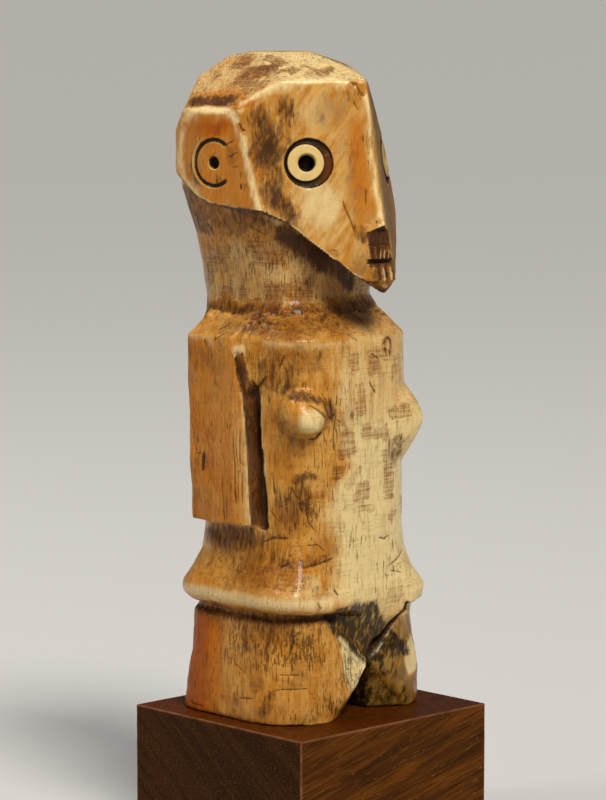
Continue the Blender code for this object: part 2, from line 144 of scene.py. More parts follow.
class Skin:
    """A mesh as arrays, in millimetres, with heights taken from the soles."""

    def __init__(self, mesh):
        self.mesh = mesh
        self.count = len(mesh.vertices)
        self.points = read_points(mesh) / MM - SOLES
        pairs = np.empty(len(mesh.edges) * 2, np.int32)
        mesh.edges.foreach_get("vertices", pairs)
        self.starts, self.ends = pairs.reshape(-1, 2).T
        self.degree = np.bincount(pairs, minlength=self.count)

    def write(self):
        write_points(self.mesh, (self.points + SOLES) * MM)

    def normals(self):
        self.write()
        flat = np.empty(self.count * 3)
        self.mesh.vertex_normals.foreach_get("vector", flat)
        return flat.reshape(-1, 3)

    def push(self, distance):
        """Move each point out along its normal."""
        self.points += distance[:, None] * self.normals()

    def averaged(self, values):
        """Each point's value taken from the middle of its neighbours."""
        total = np.bincount(self.starts, weights=values[self.ends], minlength=self.count)
        total += np.bincount(self.ends, weights=values[self.starts], minlength=self.count)
        return total / self.degree

    def smooth(self, rounds, strength=0.5):
        """Pull each point towards the middle of its neighbours; strength may differ from point to point."""
        for _ in range(rounds):
            for column in self.points.T:
                column += strength * (self.averaged(column) - column)

    def spread(self, values, rounds):
        for _ in range(rounds):
            values = 0.5 * values + 0.5 * self.averaged(values)
        return values

    def hollowness(self, rounds):
        """How far each point lies inside its smoothed surface, in millimetres: hollows are positive."""
        soft = np.column_stack([self.spread(column, rounds) for column in self.points.T])
        return np.einsum("ij,ij->i", soft - self.points, self.normals())

    def azimuths(self):
        return np.degrees(np.arctan2(self.points[:, 0], AXIS_Y - self.points[:, 1]))

    def tree(self):
        """The surface in metres, for rays to find."""
        self.write()
        form = bmesh.new()
        form.from_mesh(self.mesh)
        tree = BVHTree.FromBMesh(form)
        form.free()
        return tree


# The figure's surface ----------------------------------------


def linked_object(name, mesh):
    made = bpy.data.objects.new(name, mesh)
    bpy.context.scene.collection.objects.link(made)
    return made


def copy_of_node(name, new_name):
    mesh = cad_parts[name].data.copy()
    mesh.name = new_name
    mesh.materials.clear()
    return linked_object(new_name, mesh)


def object_of_form(name, form):
    """An object from a bmesh, which is freed."""
    mesh = bpy.data.meshes.new(name)
    form.to_mesh(mesh)
    form.free()
    return linked_object(name, mesh)


def keep_modified(made, modifier):
    """Replace an object's mesh by what its one modifier makes of it."""
    graph = bpy.context.evaluated_depsgraph_get()
    mesh = bpy.data.meshes.new_from_object(made.evaluated_get(graph))
    made.modifiers.remove(modifier)
    made.data = mesh


def divide_evenly(made, step):
    """Give an object an even mesh over its closed surface, with points about step millimetres apart."""
    modifier = made.modifiers.new("even", "REMESH")
    modifier.mode = "VOXEL"
    modifier.voxel_size = step * MM
    keep_modified(made, modifier)


def thin_out(made, most):
    """Join the flattest faces until no more than most triangles are left."""
    triangles = sum(len(face.vertices) - 2 for face in made.data.polygons)
    modifier = made.modifiers.new("thin", "DECIMATE")
    modifier.ratio = min(1, most / triangles)
    keep_modified(made, modifier)


def divide_finer(made, chosen):
    """Halve the faces between the chosen points of an object's mesh."""
    form = bmesh.new()
    form.from_mesh(made.data)
    edges = [edge for edge in form.edges if all(chosen[point.index] for point in edge.verts)]
    bmesh.ops.subdivide_edges(form, edges=edges, cuts=1, use_grid_fill=True)
    bmesh.ops.triangulate(form, faces=[face for face in form.faces if len(face.verts) > 4])
    form.to_mesh(made.data)
    form.free()


class Ring:
    """A drilled ring and dot on a flat of the head."""

    def __init__(self, side, at, facets):
        azimuth, tilt, reach = facets[0]
        self.side = side
        self.facets = facets
        self.normal = direction(side * azimuth, tilt)
        backward = np.array((0, 1, 0))
        tangent = backward - self.normal * backward.dot(self.normal)
        self.tangent = tangent / np.linalg.norm(tangent)
        self.upward = np.cross(self.tangent, self.normal) * side
        start = HEAD_CENTRE + self.normal * reach
        ahead = np.array(((self.tangent[1], self.upward[1]), (self.tangent[2], self.upward[2])))
        back, rise = np.linalg.solve(ahead, (at[0] - start[1], at[1] - start[2]))
        self.middle = start + self.tangent * back + self.upward * rise

    def flat_places(self, points):
        """Where each point lies on the flat, backward and up from the middle, and how far above it."""
        offset = points - self.middle
        return offset @ self.tangent, offset @ self.upward, offset @ self.normal

    def flat_height(self, points):
        """How far above each point the flat lies, along its normal."""
        reaches = []
        for azimuth, tilt, reach in self.facets:
            across = direction(self.side * azimuth, tilt)
            reaches.append((reach - (points - HEAD_CENTRE) @ across) / across.dot(self.normal))
        return np.minimum.reduce(reaches)

    def cut(self, skin, depth_of):
        """Dress the flat round the ring, and sink it by what depth_of gives for (back, up, outer)."""
        back, up, above = self.flat_places(skin.points)
        outer = np.hypot(back, up)
        near = (outer < RING_RADIUS + 1.2) & (np.abs(above) < RING_REACH)
        fade = 1 - ramp(RING_RADIUS + 0.5, RING_RADIUS + 1.2, outer)
        shift = (self.flat_height(skin.points) - depth_of(back, up, outer)) * fade
        skin.points[near] += shift[near, None] * self.normal


def rings_of(side):
    """The eye and the ear of one side."""
    cheeks = (CHEEK,) if side == RIGHT else (CHEEK, LEFT_CHEEK_TOP, LEFT_CHEEK_BACK)
    return Ring(side, EYE_AT, cheeks), Ring(side, EAR_AT, (EAR_SIDE,))


def groove_profile(distance, depth, soft=0.22):
    """Depth of a groove, for the distance inside its edge."""
    return depth * ramp(-soft, soft * 1.5, distance)


def eye_depth(back, up, outer):
    inner = np.hypot(back - DISC_SHIFT, up)
    moat = np.minimum(RING_RADIUS - outer, inner - DISC_RADIUS)
    pupil = PUPIL_RADIUS - np.hypot(back - PUPIL_SHIFT, up)
    depth = groove_profile(moat, 0.62) + groove_profile(pupil, PUPIL_DEPTH, 0.4)
    return depth - 0.1 * ramp(0, 1.6, DISC_RADIUS - inner) * (pupil < 0)


def ear_depth(back, up, outer):
    line = 0.38 - np.abs(outer - EAR_LINE_RADIUS)
    facing = np.degrees(np.arctan2(up, -back))
    open_part = 1 - ramp(42, 58, np.abs(facing))
    depth = groove_profile(line, 0.4, 0.15) * (1 - 0.85 * open_part)
    return depth + groove_profile(EAR_DOT_RADIUS - outer, 1.2, 0.3)


# Marks ----------------------------------------

# Each along the surface: (width, azimuth, height, azimuth, height, ...)
HEAD_MARKS = (
    (0.3, -9, 134, -6, 133), (0.4, -6, 134, -4, 132, -5, 131), (0.3, -4, 132, -2, 131),
    (0.3, -8, 130, -6, 128), (0.5, -83, 125.5, -81, 124, -79, 124),
    (0.4, -19, 109.5, -17, 107, -15, 105, -14, 103), (0.3, -5, 123, -5, 121.5), (0.3, -6, 112, -7, 108.5),
    (0.3, -3, 105.5, -3, 104.5), (0.3, -92, 120.8, -86, 122), (0.35, -90, 118.2, -84, 119.5),
    (0.3, -88, 116, -84, 116.5), (0.3, -82, 115.5, -82, 114), (0.3, -82, 113, -82, 111.5),
    (0.3, -78, 113, -80, 111.5), (0.3, -84, 104, -70, 102),
)

ARM_MARKS = (
    (0.3, -96, 80, -91, 81.5), (0.3, -99, 82, -94, 83.5), (0.4, -103, 80, -102, 78.5),
    (0.3, -88, 78, -87, 75.5), (0.3, -95, 73, -96, 70.5), (0.3, -95, 64.5, -95, 62.5),
    (0.3, -112, 62, -110, 57, -109, 55.5), (1, -104, 56, -105, 52), (0.3, -90, 52, -90, 48, -89, 42),
    (0.3, -87, 47.5, -87, 42.5), (0.3, -82, 61.5, -81, 54, -81, 49, -80, 45.5),
    (0.3, -78, 62, -78, 55, -76, 54), (0.3, -77, 53, -77, 46),
)

CHEST_MARKS = (
    (0.4, -81, 77, -79, 74, -77, 70, -75, 69), (0.7, -65, 73, -67, 72, -69, 71, -74, 69.5, -75, 68),
    (0.3, -53, 74.5, -52, 71.5, -53, 70), (0.4, -54, 77.5, -57, 75),
    (0.4, -41, 67.5, -37, 66.5, -31, 64.5, -30, 63), (0.4, -33, 61.5, -37, 60, -41, 60),
    (0.3, -30, 64.5, -27, 64, -24, 65), (0.3, -24, 64, -20, 63), (0.4, 7, 77, 14, 75.5),
    (0.5, 5, 71, 11, 68.5), (0.4, -44, 51, -45, 49, -46, 46, -44, 44), (0.3, -57, 50, -57, 48, -56, 46),
    (0.4, -50, 50, -48, 48, -41, 45.5, -38, 42.5), (0.3, -46, 47.5, -37, 44, -35, 42.5),
    (0.3, -41, 48.5, -40, 45.5, -34, 43.5), (0.3, -43, 46, -41, 42.5, -37, 40.5), (0.3, -63, 45, -59, 43),
    (0.3, -61, 52, -60, 48),
)

HIP_MARKS = (
    (0.5, -67, 38, -61, 39, -52, 39), (0.5, -56, 33, -51, 34), (0.5, -44, 33, -36, 33.5, -25, 34.5),
    (0.3, -42, 37.5, -35, 37.5, -31, 36), (0.3, -37, 26, -35, 24.5), (0.4, -26, 28, -23, 26.5),
    (0.4, 14, 37.5, 19, 37, 24, 37.5), (0.4, 24, 31, 31, 32, 40, 33.5), (0.3, 24, 30, 34, 29),
)

LEG_MARKS = (
    (0.6, -49, 21, -49, 17.5, -51, 14.5), (0.3, -56, 10.5, -45, 10.5), (0.3, -59, 7, -55, 7.5, -41, 7.5),
    (0.3, -80, 4.5, -70, 5), (0.3, -84, 11.5, -76, 10), (0.3, -120, 1.5, -116, 1, -107, 1),
)

MARKS = (*HEAD_MARKS, *ARM_MARKS, *CHEST_MARKS, *HIP_MARKS, *LEG_MARKS)
MARK_REACH = 1.3
MARK_STEP = 1.5
MARK_STEEPNESS = 0.9
RAY_START = 60


def steps_along(flat_places):
    """Pairs of neighbouring (azimuth, height) places from a flat row of numbers."""
    places = list(zip(flat_places[::2], flat_places[1::2]))
    return zip(places, places[1:])


def mark_line(skin_tree, flat_places):
    """Points of the surface along a mark."""
    turns, heights = [], []
    for (first_turn, first_height), (last_turn, last_height) in steps_along(flat_places):
        length = math.hypot((last_turn - first_turn) * MM_PER_DEGREE, last_height - first_height)
        parts = np.arange(max(1, round(length / MARK_STEP))) / max(1, round(length / MARK_STEP))
        turns.extend(first_turn + (last_turn - first_turn) * parts)
        heights.extend(first_height + (last_height - first_height) * parts)
    line = []
    for turn, height in zip((*turns, flat_places[-2]), (*heights, flat_places[-1])):
        outward = direction(turn)
        start = (np.array((0, AXIS_Y, height)) + outward * RAY_START + SOLES) * MM
        line.append(np.array(skin_tree.ray_cast(Vector(start), Vector(-outward))[0]) / MM - SOLES)
    return np.array(line)


def measure_marks(skin):
    """For each point: how far it lies beside the nearest mark's middle line, and the mark's half width."""
    side = np.full(skin.count, FAR)
    half = np.zeros(skin.count)
    best = np.full(skin.count, -FAR)
    tree = skin.tree()
    for width, *flat_places in MARKS:
        line = mark_line(tree, flat_places)
        low, high = line.min(axis=0) - MARK_REACH, line.max(axis=0) + MARK_REACH
        near = np.flatnonzero(np.all((skin.points > low) & (skin.points < high), axis=1))
        points = skin.points[near]
        lengths = np.linalg.norm(np.diff(line, axis=0), axis=1)
        before = np.concatenate(((0,), np.cumsum(lengths)))
        for start, end, length, passed in zip(line, line[1:], lengths, before):
            along = (end - start) / length
            outward = np.array((start[0], start[1] - AXIS_Y, 0))
            across = np.cross(along, outward / np.linalg.norm(outward))
            offset = points - start
            forward = offset @ along
            beside = offset @ across
            overshoot = np.maximum(np.maximum(-forward, forward - length), 0)
            travelled = (passed + np.clip(forward, 0, length)) / before[-1]
            taper = np.clip(4 * np.minimum(travelled, 1 - travelled) + 0.45, 0, 1)
            wide = 0.5 * width * taper - overshoot
            wide[np.abs(beside) > MARK_REACH] = 0
            score = wide - np.abs(beside)
            better = score > best[near]
            chosen = near[better]
            best[chosen] = score[better]
            side[chosen] = beside[better]
            half[chosen] = np.maximum(wide[better], 0)
    return side, half


# Where the solids' broad cuts are worked closer to the carving, in the figure's millimetres
GROIN_START = (0, 12.2)
RIGHT_GROIN_ALONG = (-0.682, 0.731)
LEFT_GROIN_ALONG = (0.782, 0.623)
APRON_FRONT = -14.9
APRON_SLANT = -0.105
GROIN_FLOOR = -11.6
BELLY_FRONT = -16.5
LEFT_SHIN_FLAT = ((2.5, -16.4, 12.4), (5, -10.4, 0), (13, -15.2, 0))
FOREHEAD_CORNER = (-1, -15.6, 133.4)

# Each breast: side, tip, its droop in degrees, how far it spreads above and below the tip, and its bluntness
BREASTS = (
    (RIGHT, (-16.8, -17, 64.4), 8, 4.4, 4.2, 2),
    (LEFT, (16.9, -17.2, 63), 0, 4.8, 7.4, 1.3),
)
BREAST_AZIMUTH = 30
BREAST_DEPTH = 3.2
BREAST_HALF_WIDTH = 4.6
CHEST_RADIUS = 22.8
KNOT = (22.8, 78.3)


def groin_places(skin, along):
    """How far each point lies beside and along one of the lines up from the top of the leg gap."""
    x = skin.points[:, 0] - GROIN_START[0]
    height = skin.points[:, 2] - GROIN_START[1]
    return x * along[1] - height * along[0], x * along[0] + height * along[1]


def fill_groin(skin):
    """Close the apron's right groove to a step, bevel the left one, and ease the belly into the apron."""
    x, y, height = skin.points.T
    beside, forward = groin_places(skin, RIGHT_GROIN_ALONG)
    front = APRON_FRONT + APRON_SLANT * x
    closed = (beside > -0.8) & (beside < 1.1) & (forward > -1.5) & (forward < 15)
    closed &= (y > front) & (y < -11)
    y[closed] = front[closed]
    beside, forward = groin_places(skin, LEFT_GROIN_ALONG)
    slope = GROIN_FLOOR - 3.7 * ramp(-0.5, 1.6, beside)
    bevel = (beside > -0.6) & (beside < 1.7) & (forward > 0.4) & (forward < 16)
    bevel &= (y > slope) & (y < -10)
    y[bevel] = slope[bevel]
    ease = BELLY_FRONT + 1.5 * ramp(28, 17.5, height)
    here = window(x, -4.5, -1.5, 10.5, 12.5) * window(height, 17, 18, 27.5, 28.5)
    y += here * (np.abs(y - ease) < 1.4) * (ease - y)


def shape_breasts(skin):
    """Draw each breast out of the chest to a blunt tip."""
    for side, tip, droop, above, below, bluntness in BREASTS:
        axis = direction(side * BREAST_AZIMUTH, -droop)
        offset = skin.points - tip
        behind = -offset @ axis
        offset += behind[:, None] * axis
        reach = np.where(offset[:, 2] > 0, above, below)
        spread = np.hypot(np.hypot(offset[:, 0], offset[:, 1]) / BREAST_HALF_WIDTH, offset[:, 2] / reach)
        forward = behind - BREAST_DEPTH * spread ** bluntness
        outward = np.hypot(skin.points[:, 0], skin.points[:, 1] - AXIS_Y)
        forward = np.maximum(forward, np.minimum(0, CHEST_RADIUS - outward))
        here = (spread < 1.6) & (behind > -1.5) & (behind < 9)
        skin.points[here] += forward[here, None] * axis


def close_groin(skin):
    """Lean the top of the space between the legs to the left."""
    x, y, height = skin.points.T
    beside = groin_places(skin, LEFT_GROIN_ALONG)[0]
    shift = 2.8 - 1.6 * ramp(-1.3, 1.3, beside)
    shift *= ramp(7, 2, beside) * ramp(-10, -2, x)
    shift *= window(height, 2, 9, 21, 25) * ramp(-5, -11, y)
    skin.points[:, 0] += shift
    skin.points[:, 2] -= 0.22 * shift


def flatten_left_shin(skin):
    """Take the inner corner of the left shin back to a slanting flat."""
    top, inner, outer = (np.array(place) for place in LEFT_SHIN_FLAT)
    across = np.cross(inner - top, outer - top)
    across *= -np.sign(across[1]) / np.linalg.norm(across)
    proud = (skin.points - top) @ across
    here = ramp(0.6, 1.6, skin.points[:, 0]) * ramp(14, 12, skin.points[:, 2])
    skin.points -= (np.maximum(proud, 0) * here)[:, None] * across


def beside_apron(azimuth):
    """The hips and back: everywhere round the figure but its front."""
    return ramp(-14, -24, azimuth) + ramp(60, 75, azimuth)


def soften(skin):
    """Round the edges that the hand has rubbed or the knife left blunt."""
    x, y, height = skin.points.T
    apron = window(x, -12, -9, 10, 13) * window(height, 12.5, 14, 23, 26)
    corner = np.linalg.norm(skin.points - FOREHEAD_CORNER, axis=1)
    skin.smooth(7, 0.5 * np.maximum.reduce((
        near_height(height, HIP_EDGE, 2) * beside_apron(skin.azimuths()),
        ramp(21.5, 19.5, height) * ramp(0.5, 2, x),
        apron * ramp(-10, -12, y),
        ramp(4, 1.5, corner),
    )))
    shin = ramp(1.5, 3, x) * window(height, 0.6, 2, 14, 18)
    skin.smooth(30, 0.5 * shin * ramp(-9, -12, y))


# Hand-cut unevenness: size and depth of the lumps, and what the head loses of the depth; then the same
# of the chips, and what the jaw adds
SWELL_SIZE, SWELL_DEPTH, SWELL_LOSS = 11, 0.36, 0.24
STROKE_SIZE, STROKE_DEPTH, STROKE_LOSS = 4.5, 0.2, 0.13
CHIP_SIZE, CHIP_DEPTH, JAW_CHIP_DEPTH = 1.7, 0.12, 0.4

# The keel on the right of the hip band, and how far the jaw's tip hangs below its flats
KEEL_AZIMUTH, KEEL_HEIGHT = -46, 28.5
KEEL_HALF_WIDTH, KEEL_HALF_HEIGHT, KEEL_DEPTH = 3.4, 6, 1.1
JAW_DROP = 1.2


def carve(skin):
    """Take the even surface from the solids to hand-carved ivory."""
    close_groin(skin)
    flatten_left_shin(skin)
    soften(skin)
    y, height = skin.points.T[1:]
    azimuth = skin.azimuths()
    head = ramp(99, 105, height)
    # Hand-cut unevenness: long swells and short knife strokes, rougher at the neck's root
    swell = noise_at(skin.points, SWELL_SIZE, 1)
    strokes = noise_at(skin.points, STROKE_SIZE, 2, 2, (1, 1, 1.7))
    rough = noise_at(skin.points, 2.2, 3, 3)
    shift = swell * (SWELL_DEPTH - SWELL_LOSS * head) + strokes * (STROKE_DEPTH - STROKE_LOSS * head)
    shift += rough * (0.3 * near_height(height, NECK_ROOT, 2.4) + 0.12 * ramp(24, 20, height))
    # The hip band: a keel on the right, and an undercut lip
    across = (azimuth - KEEL_AZIMUTH) * MM_PER_DEGREE / KEEL_HALF_WIDTH
    up = (height - KEEL_HEIGHT) / KEEL_HALF_HEIGHT
    shift += KEEL_DEPTH * np.exp(-(across ** 2 + up ** 2))
    lip = 0.3 * near_height(height, HIP_EDGE, 1.4) - 0.9 * near_height(height, UNDER_HIP, 0.9)
    shift += beside_apron(azimuth) * lip
    height -= JAW_DROP * ramp(94, 90.5, height) * ramp(-14, -18, y)
    skin.push(shift)
    # Chips along the sharp edges, most of all along the jaw
    edge = ramp(0.05, 0.16, -skin.hollowness(5))
    chips = ramp(0.2, 0.7, noise_at(skin.points, CHIP_SIZE, 4))
    jaw = window(height, JAW_BOTTOM, JAW_BOTTOM + 2, 104, 112)
    skin.push(-edge * chips * (CHIP_DEPTH + JAW_CHIP_DEPTH * jaw))
    side, half = measure_marks(skin)
    skin.push(-MARK_STEEPNESS * half * ramp(half + 0.25, 0, np.abs(side)) * (half > 0.05))
    skin.write()


def cut_features(skin):
    """Drill the eyes and ears, and work the mouth."""
    for side in (RIGHT, LEFT):
        eye, ear = rings_of(side)
        eye.cut(skin, eye_depth)
        ear.cut(skin, ear_depth)
    cut_mouth(skin)
    # The soles rest on the block
    skin.points[:, 2] -= 0.24 * ramp(1.5, 0.4, skin.points[:, 2])
    low = FIGURE_LOW + 0.02
    low[2] = -0.25
    np.clip(skin.points, low, FIGURE_HIGH - 0.02, out=skin.points)
    skin.write()


def muzzle_places(skin):
    x, y, height = skin.points.T
    return (y < -17) & (height > 91.5) & (height < 105) & (np.abs(x) < 4.2)


def fine_places(skin):
    """Which points lie where the carving is small: the eyes, the ears and the mouth."""
    chosen = muzzle_places(skin)
    for ring in (*rings_of(RIGHT), *rings_of(LEFT)):
        back, up, above = ring.flat_places(skin.points)
        chosen |= (np.hypot(back, up) < RING_RADIUS + 0.8) & (np.abs(above) < RING_REACH)
    return chosen


# The muzzle: heights where its levels meet, how far forward each level lies, and its rows of teeth as
# (low, high, pitch, one gap's x, depth of the gaps)
LIP, UPPER_BITE, LOWER_BITE = 100, 97.3, 96.4
RECESS_Y, UPPER_Y, SLOT_Y, LOWER_Y = -20.4, -21.85, -20.4, -21.9
TEETH = ((UPPER_BITE, LIP, 1.15, 0.7, 0.5), (92.8, LOWER_BITE, 2.05, 0.4, 0.6))


def nose_edge(x):
    """Height of the nose's lower edge, which rises towards its ridge."""
    return 103 + 1.2 * np.clip(1 - np.abs(x) / 2.6, 0, 1)


def tooth_rows(x, height):
    """For each row of teeth: how much each point is in it, its distance from a gap, and the row's sizes."""
    for low, high, pitch, gap, depth in TEETH:
        row = window(height, low - 0.1, low + 0.2, high - 0.2, high + 0.1)
        yield row, np.abs(((x - gap) / pitch + 0.5) % 1 - 0.5) * pitch, 0.5 * pitch, depth, high


def cut_mouth(skin):
    """Work the nose's lower edge, the hollow under it, both rows of teeth and the slot between them."""
    facing_front = skin.normals()[:, 1] < -0.35
    uneven = 0.12 * noise_at(skin.points, 1.2, 6)
    x, y, height = skin.points.T
    height = height + uneven
    wedge = -22.1 + 0.205 * (height - 104) + 0.775 * np.abs(x)
    front = wedge
    lower = LOWER_Y - 0.2 * (LOWER_BITE - height)
    for top, level in ((nose_edge(x), RECESS_Y), (LIP, UPPER_Y), (UPPER_BITE, SLOT_Y), (LOWER_BITE, lower)):
        front = front + (np.maximum(wedge, level) - front) * ramp(0.12, -0.12, height - top)
    for row, away, _, depth, _ in tooth_rows(x, height):
        front = front + depth * row * ramp(0.34, 0.06, away) * ramp(3, 2.4, np.abs(x))
        front = front - 0.16 * row * ramp(0.3, 0.6, away)
    here = ramp(4.1, 3.3, np.abs(x)) * window(height, 92.2, 92.9, 104.5, 105)
    here *= (y < -17) & (facing_front | (height > 93.6))
    skin.points[:, 1] += here * (front + 2 * uneven - y)


# Patina ----------------------------------------


class Painter:
    """The skin's parts, and soft places on it with edges that wander."""

    def __init__(self, skin):
        self.skin = skin
        self.x, self.y, self.height = skin.points.T
        self.azimuth = skin.azimuths()
        self.normals = skin.normals()
        self.hollow = skin.hollowness(5)
        self.wander_across = 1.3 * noise_at(skin.points, 5, 11, 3)
        self.wander_up = 1.3 * noise_at(skin.points, 5, 12, 3)
        self.radius = np.hypot(self.x, self.y - AXIS_Y)
        self.jaw = ramp(17, 18.2, self.radius) * ramp(2, -2, self.y)
        self.jaw *= ramp(JAW_BOTTOM, JAW_BOTTOM + 2, self.height)
        self.head = np.maximum(ramp(100, 106, self.height + 0.25 * self.y), self.jaw)
        self.cheek = self.head * ramp(0.8, 0.9, self.normals @ direction(-40, 8))
        self.ear = self.head * ramp(0.9, 0.97, self.normals @ direction(-79))
        self.crown = self.head * ramp(0.5, 0.75, self.normals[:, 2])
        self.mouth = ramp(3.6, 2.6, np.abs(self.x)) * (self.y < -18)
        self.mouth *= ramp(91, 92.5, self.height)
        self.mouth *= ramp(0.3, -0.3, self.height - nose_edge(self.x))
        self.legs = ramp(22.5, 21, self.height)
        self.arm_face = ramp(22.2, 22.9, np.abs(self.x)) * ramp(38, 42, self.height)
        self.groove_wall = ramp(17.4, 18, np.abs(self.x)) * window(self.height, 40, 42, 76, 81)
        self.groove_wall *= ramp(0.6, 0.85, -self.normals[:, 1]) * (self.y > -7)
        edge = np.interp(self.height, CREAM_HEIGHTS, CREAM_AZIMUTHS)
        self.front = ramp(-12, 12, self.azimuth + 6 * self.wander_across - edge)
        self.front *= ramp(88, 44, self.azimuth + 6 * self.wander_up)

    def offsets(self, azimuth, height, turn=0):
        across = (self.azimuth - azimuth + 180) % 360 - 180
        across = across * MM_PER_DEGREE + self.wander_across
        up = self.height - height + self.wander_up
        lean = math.radians(turn)
        return across * math.cos(lean) + up * math.sin(lean), up * math.cos(lean) - across * math.sin(lean)

    def oval(self, azimuth, height, half_width, half_height, turn=0, soft=0.7):
        across, up = self.offsets(azimuth, height, turn)
        distance = np.hypot(across / half_width, up / half_height)
        return ramp(1 + 0.5 * soft, 1 - 0.5 * soft, distance)

    def each_oval(self, rows):
        return [strength * self.oval(*place) for strength, *place in rows]

    def oblong(self, azimuth, height, half_width, half_height, soft=0.5):
        across = (self.azimuth - azimuth) * MM_PER_DEGREE + 0.3 * self.wander_across
        up = self.height - height + 0.3 * self.wander_up
        distance = np.maximum(np.abs(across) / half_width, np.abs(up) / half_height)
        return ramp(1 + 0.5 * soft, 1 - 0.5 * soft, distance)

    def stroke(self, flat_places, half_width, soft=0.6, wander=0.25):
        """A band along a row of azimuths and heights."""
        across = self.azimuth * MM_PER_DEGREE + wander * self.wander_across
        up = self.height + wander * self.wander_up
        nearest = np.full(self.skin.count, FAR)
        for (first_turn, first_height), (last_turn, last_height) in steps_along(flat_places):
            run = (last_turn - first_turn) * MM_PER_DEGREE
            rise = last_height - first_height
            beside = across - first_turn * MM_PER_DEGREE
            above = up - first_height
            part = np.clip((beside * run + above * rise) / (run * run + rise * rise), 0, 1)
            nearest = np.minimum(nearest, np.hypot(beside - part * run, above - part * rise))
        return ramp(half_width + soft, half_width * 0.5, nearest)

    def band(self, low, high, soft=1):
        height = self.height + 0.6 * self.wander_up
        return window(height, low - soft, low + soft, high - soft, high + soft)

    def neck(self, low, high, soft):
        return self.band(low, high, soft) * (1 - self.head)

    def turn_band(self, low, high, soft=6):
        azimuth = self.azimuth + 4 * self.wander_across
        return window(azimuth, low - soft, low + soft, high - soft, high + soft)

    def breast_tips(self):
        tips = []
        for _, tip, *_ in BREASTS:
            middle = np.array(tip) + (0.7, 0, -0.7)
            away = np.linalg.norm(self.skin.points - middle, axis=1) + 0.5 * self.wander_up
            tips.append(ramp(4.8, 1.6, away))
        return np.maximum(*tips)

    def crown_weaves(self):
        patches = []
        for middle, half_size in CROWN_WEAVES:
            distance = np.max(np.abs(self.skin.points - middle) / half_size, axis=1) + 0.06 * self.wander_up
            patches.append(ramp(1.15, 0.85, distance))
        return np.maximum.reduce(patches)


SHELTER_REACH = 9
SHELTER_LEANS = (*((0.6, turn) for turn in (0, 120, 240)), *((2, turn) for turn in range(60, 360, 72)))


def shelter(skin):
    """How enclosed each point is: 0 on an open surface, up to 1 in a deep hollow."""
    normals = skin.normals()
    tree = skin.tree()
    starts = (skin.points + SOLES + 0.1 * normals) * MM
    sideways = np.cross(normals, (0.31, 0.17, 0.93))
    sideways /= np.linalg.norm(sideways, axis=1)[:, None]
    upward = np.cross(normals, sideways)
    closed = np.zeros(skin.count)
    reach = SHELTER_REACH * MM
    for lean, turn in SHELTER_LEANS:
        turn = math.radians(turn)
        rays = normals + lean * (math.cos(turn) * sideways + math.sin(turn) * upward)
        rays /= np.linalg.norm(rays, axis=1)[:, None]
        for index, (start, ray) in enumerate(zip(starts.tolist(), rays.tolist())):
            distance = tree.ray_cast(start, ray, reach)[3]
            if distance is not None:
                closed[index] += 1 - distance / reach
    return skin.spread(closed / len(SHELTER_LEANS), 2)


# Stains and patches: (strength, azimuth, height, half width, half height, lean, softness)
STAINS = (
    (0.95, -67, 120.5, 3.2, 6.2, 10, 1.2), (0.8, -72, 126.5, 2.6, 2.6, 0, 1.4),
    (0.6, -58, 124, 1.4, 2.8, 20, 1.4), (0.9, -57, 109, 2, 7, 34, 1.2), (0.6, -62, 114.5, 1.8, 3, 30, 1.3),
    (0.7, -54, 128.5, 2.4, 2.8, 0, 1.5), (0.65, -10, 102.8, 1.2, 1.4, 20, 1.4),
    (0.7, -82, 136.5, 4, 1.2, 0, 1.4), (0.6, -76, 17, 0.7, 3.6, 4, 1.2), (0.6, -62, 15.5, 0.7, 4.4, 0, 1.2),
    (0.35, -10, 131, 1.6, 2, 20, 1.3), (0.55, -14, 103.4, 0.8, 2, 14, 1), (0.5, -63, 75.5, 3, 6, 0, 1.2),
    (0.6, -54, 72, 2.2, 3, 0, 1.2), (0.8, -42, 68.9, 4.6, 1.1, -10, 1), (0.6, -29, 66, 1.2, 2.8, 20, 1),
    (0.85, -43, 51.8, 3, 1, 0, 0.9), (0.5, -44, 47.5, 1.6, 3.6, -12, 1.3),
    (0.55, 30, 55.5, 2.4, 3, 30, 0.9), (0.75, -92, 38, 12, 3, 0, 1), (0.4, -62, 36.5, 4, 3, 0, 1.3),
    (0.6, -52, 34, 3.6, 1.2, 14, 1.1), (0.5, -36, 34, 3.6, 0.7, 8, 1), (0.6, -61, 4.5, 1.2, 3, -20, 0.9),
    (0.9, 29, 13.4, 3.6, 1.1, 6, 0.8), (0.5, -84, 3, 1, 3, -14, 1.1),
)

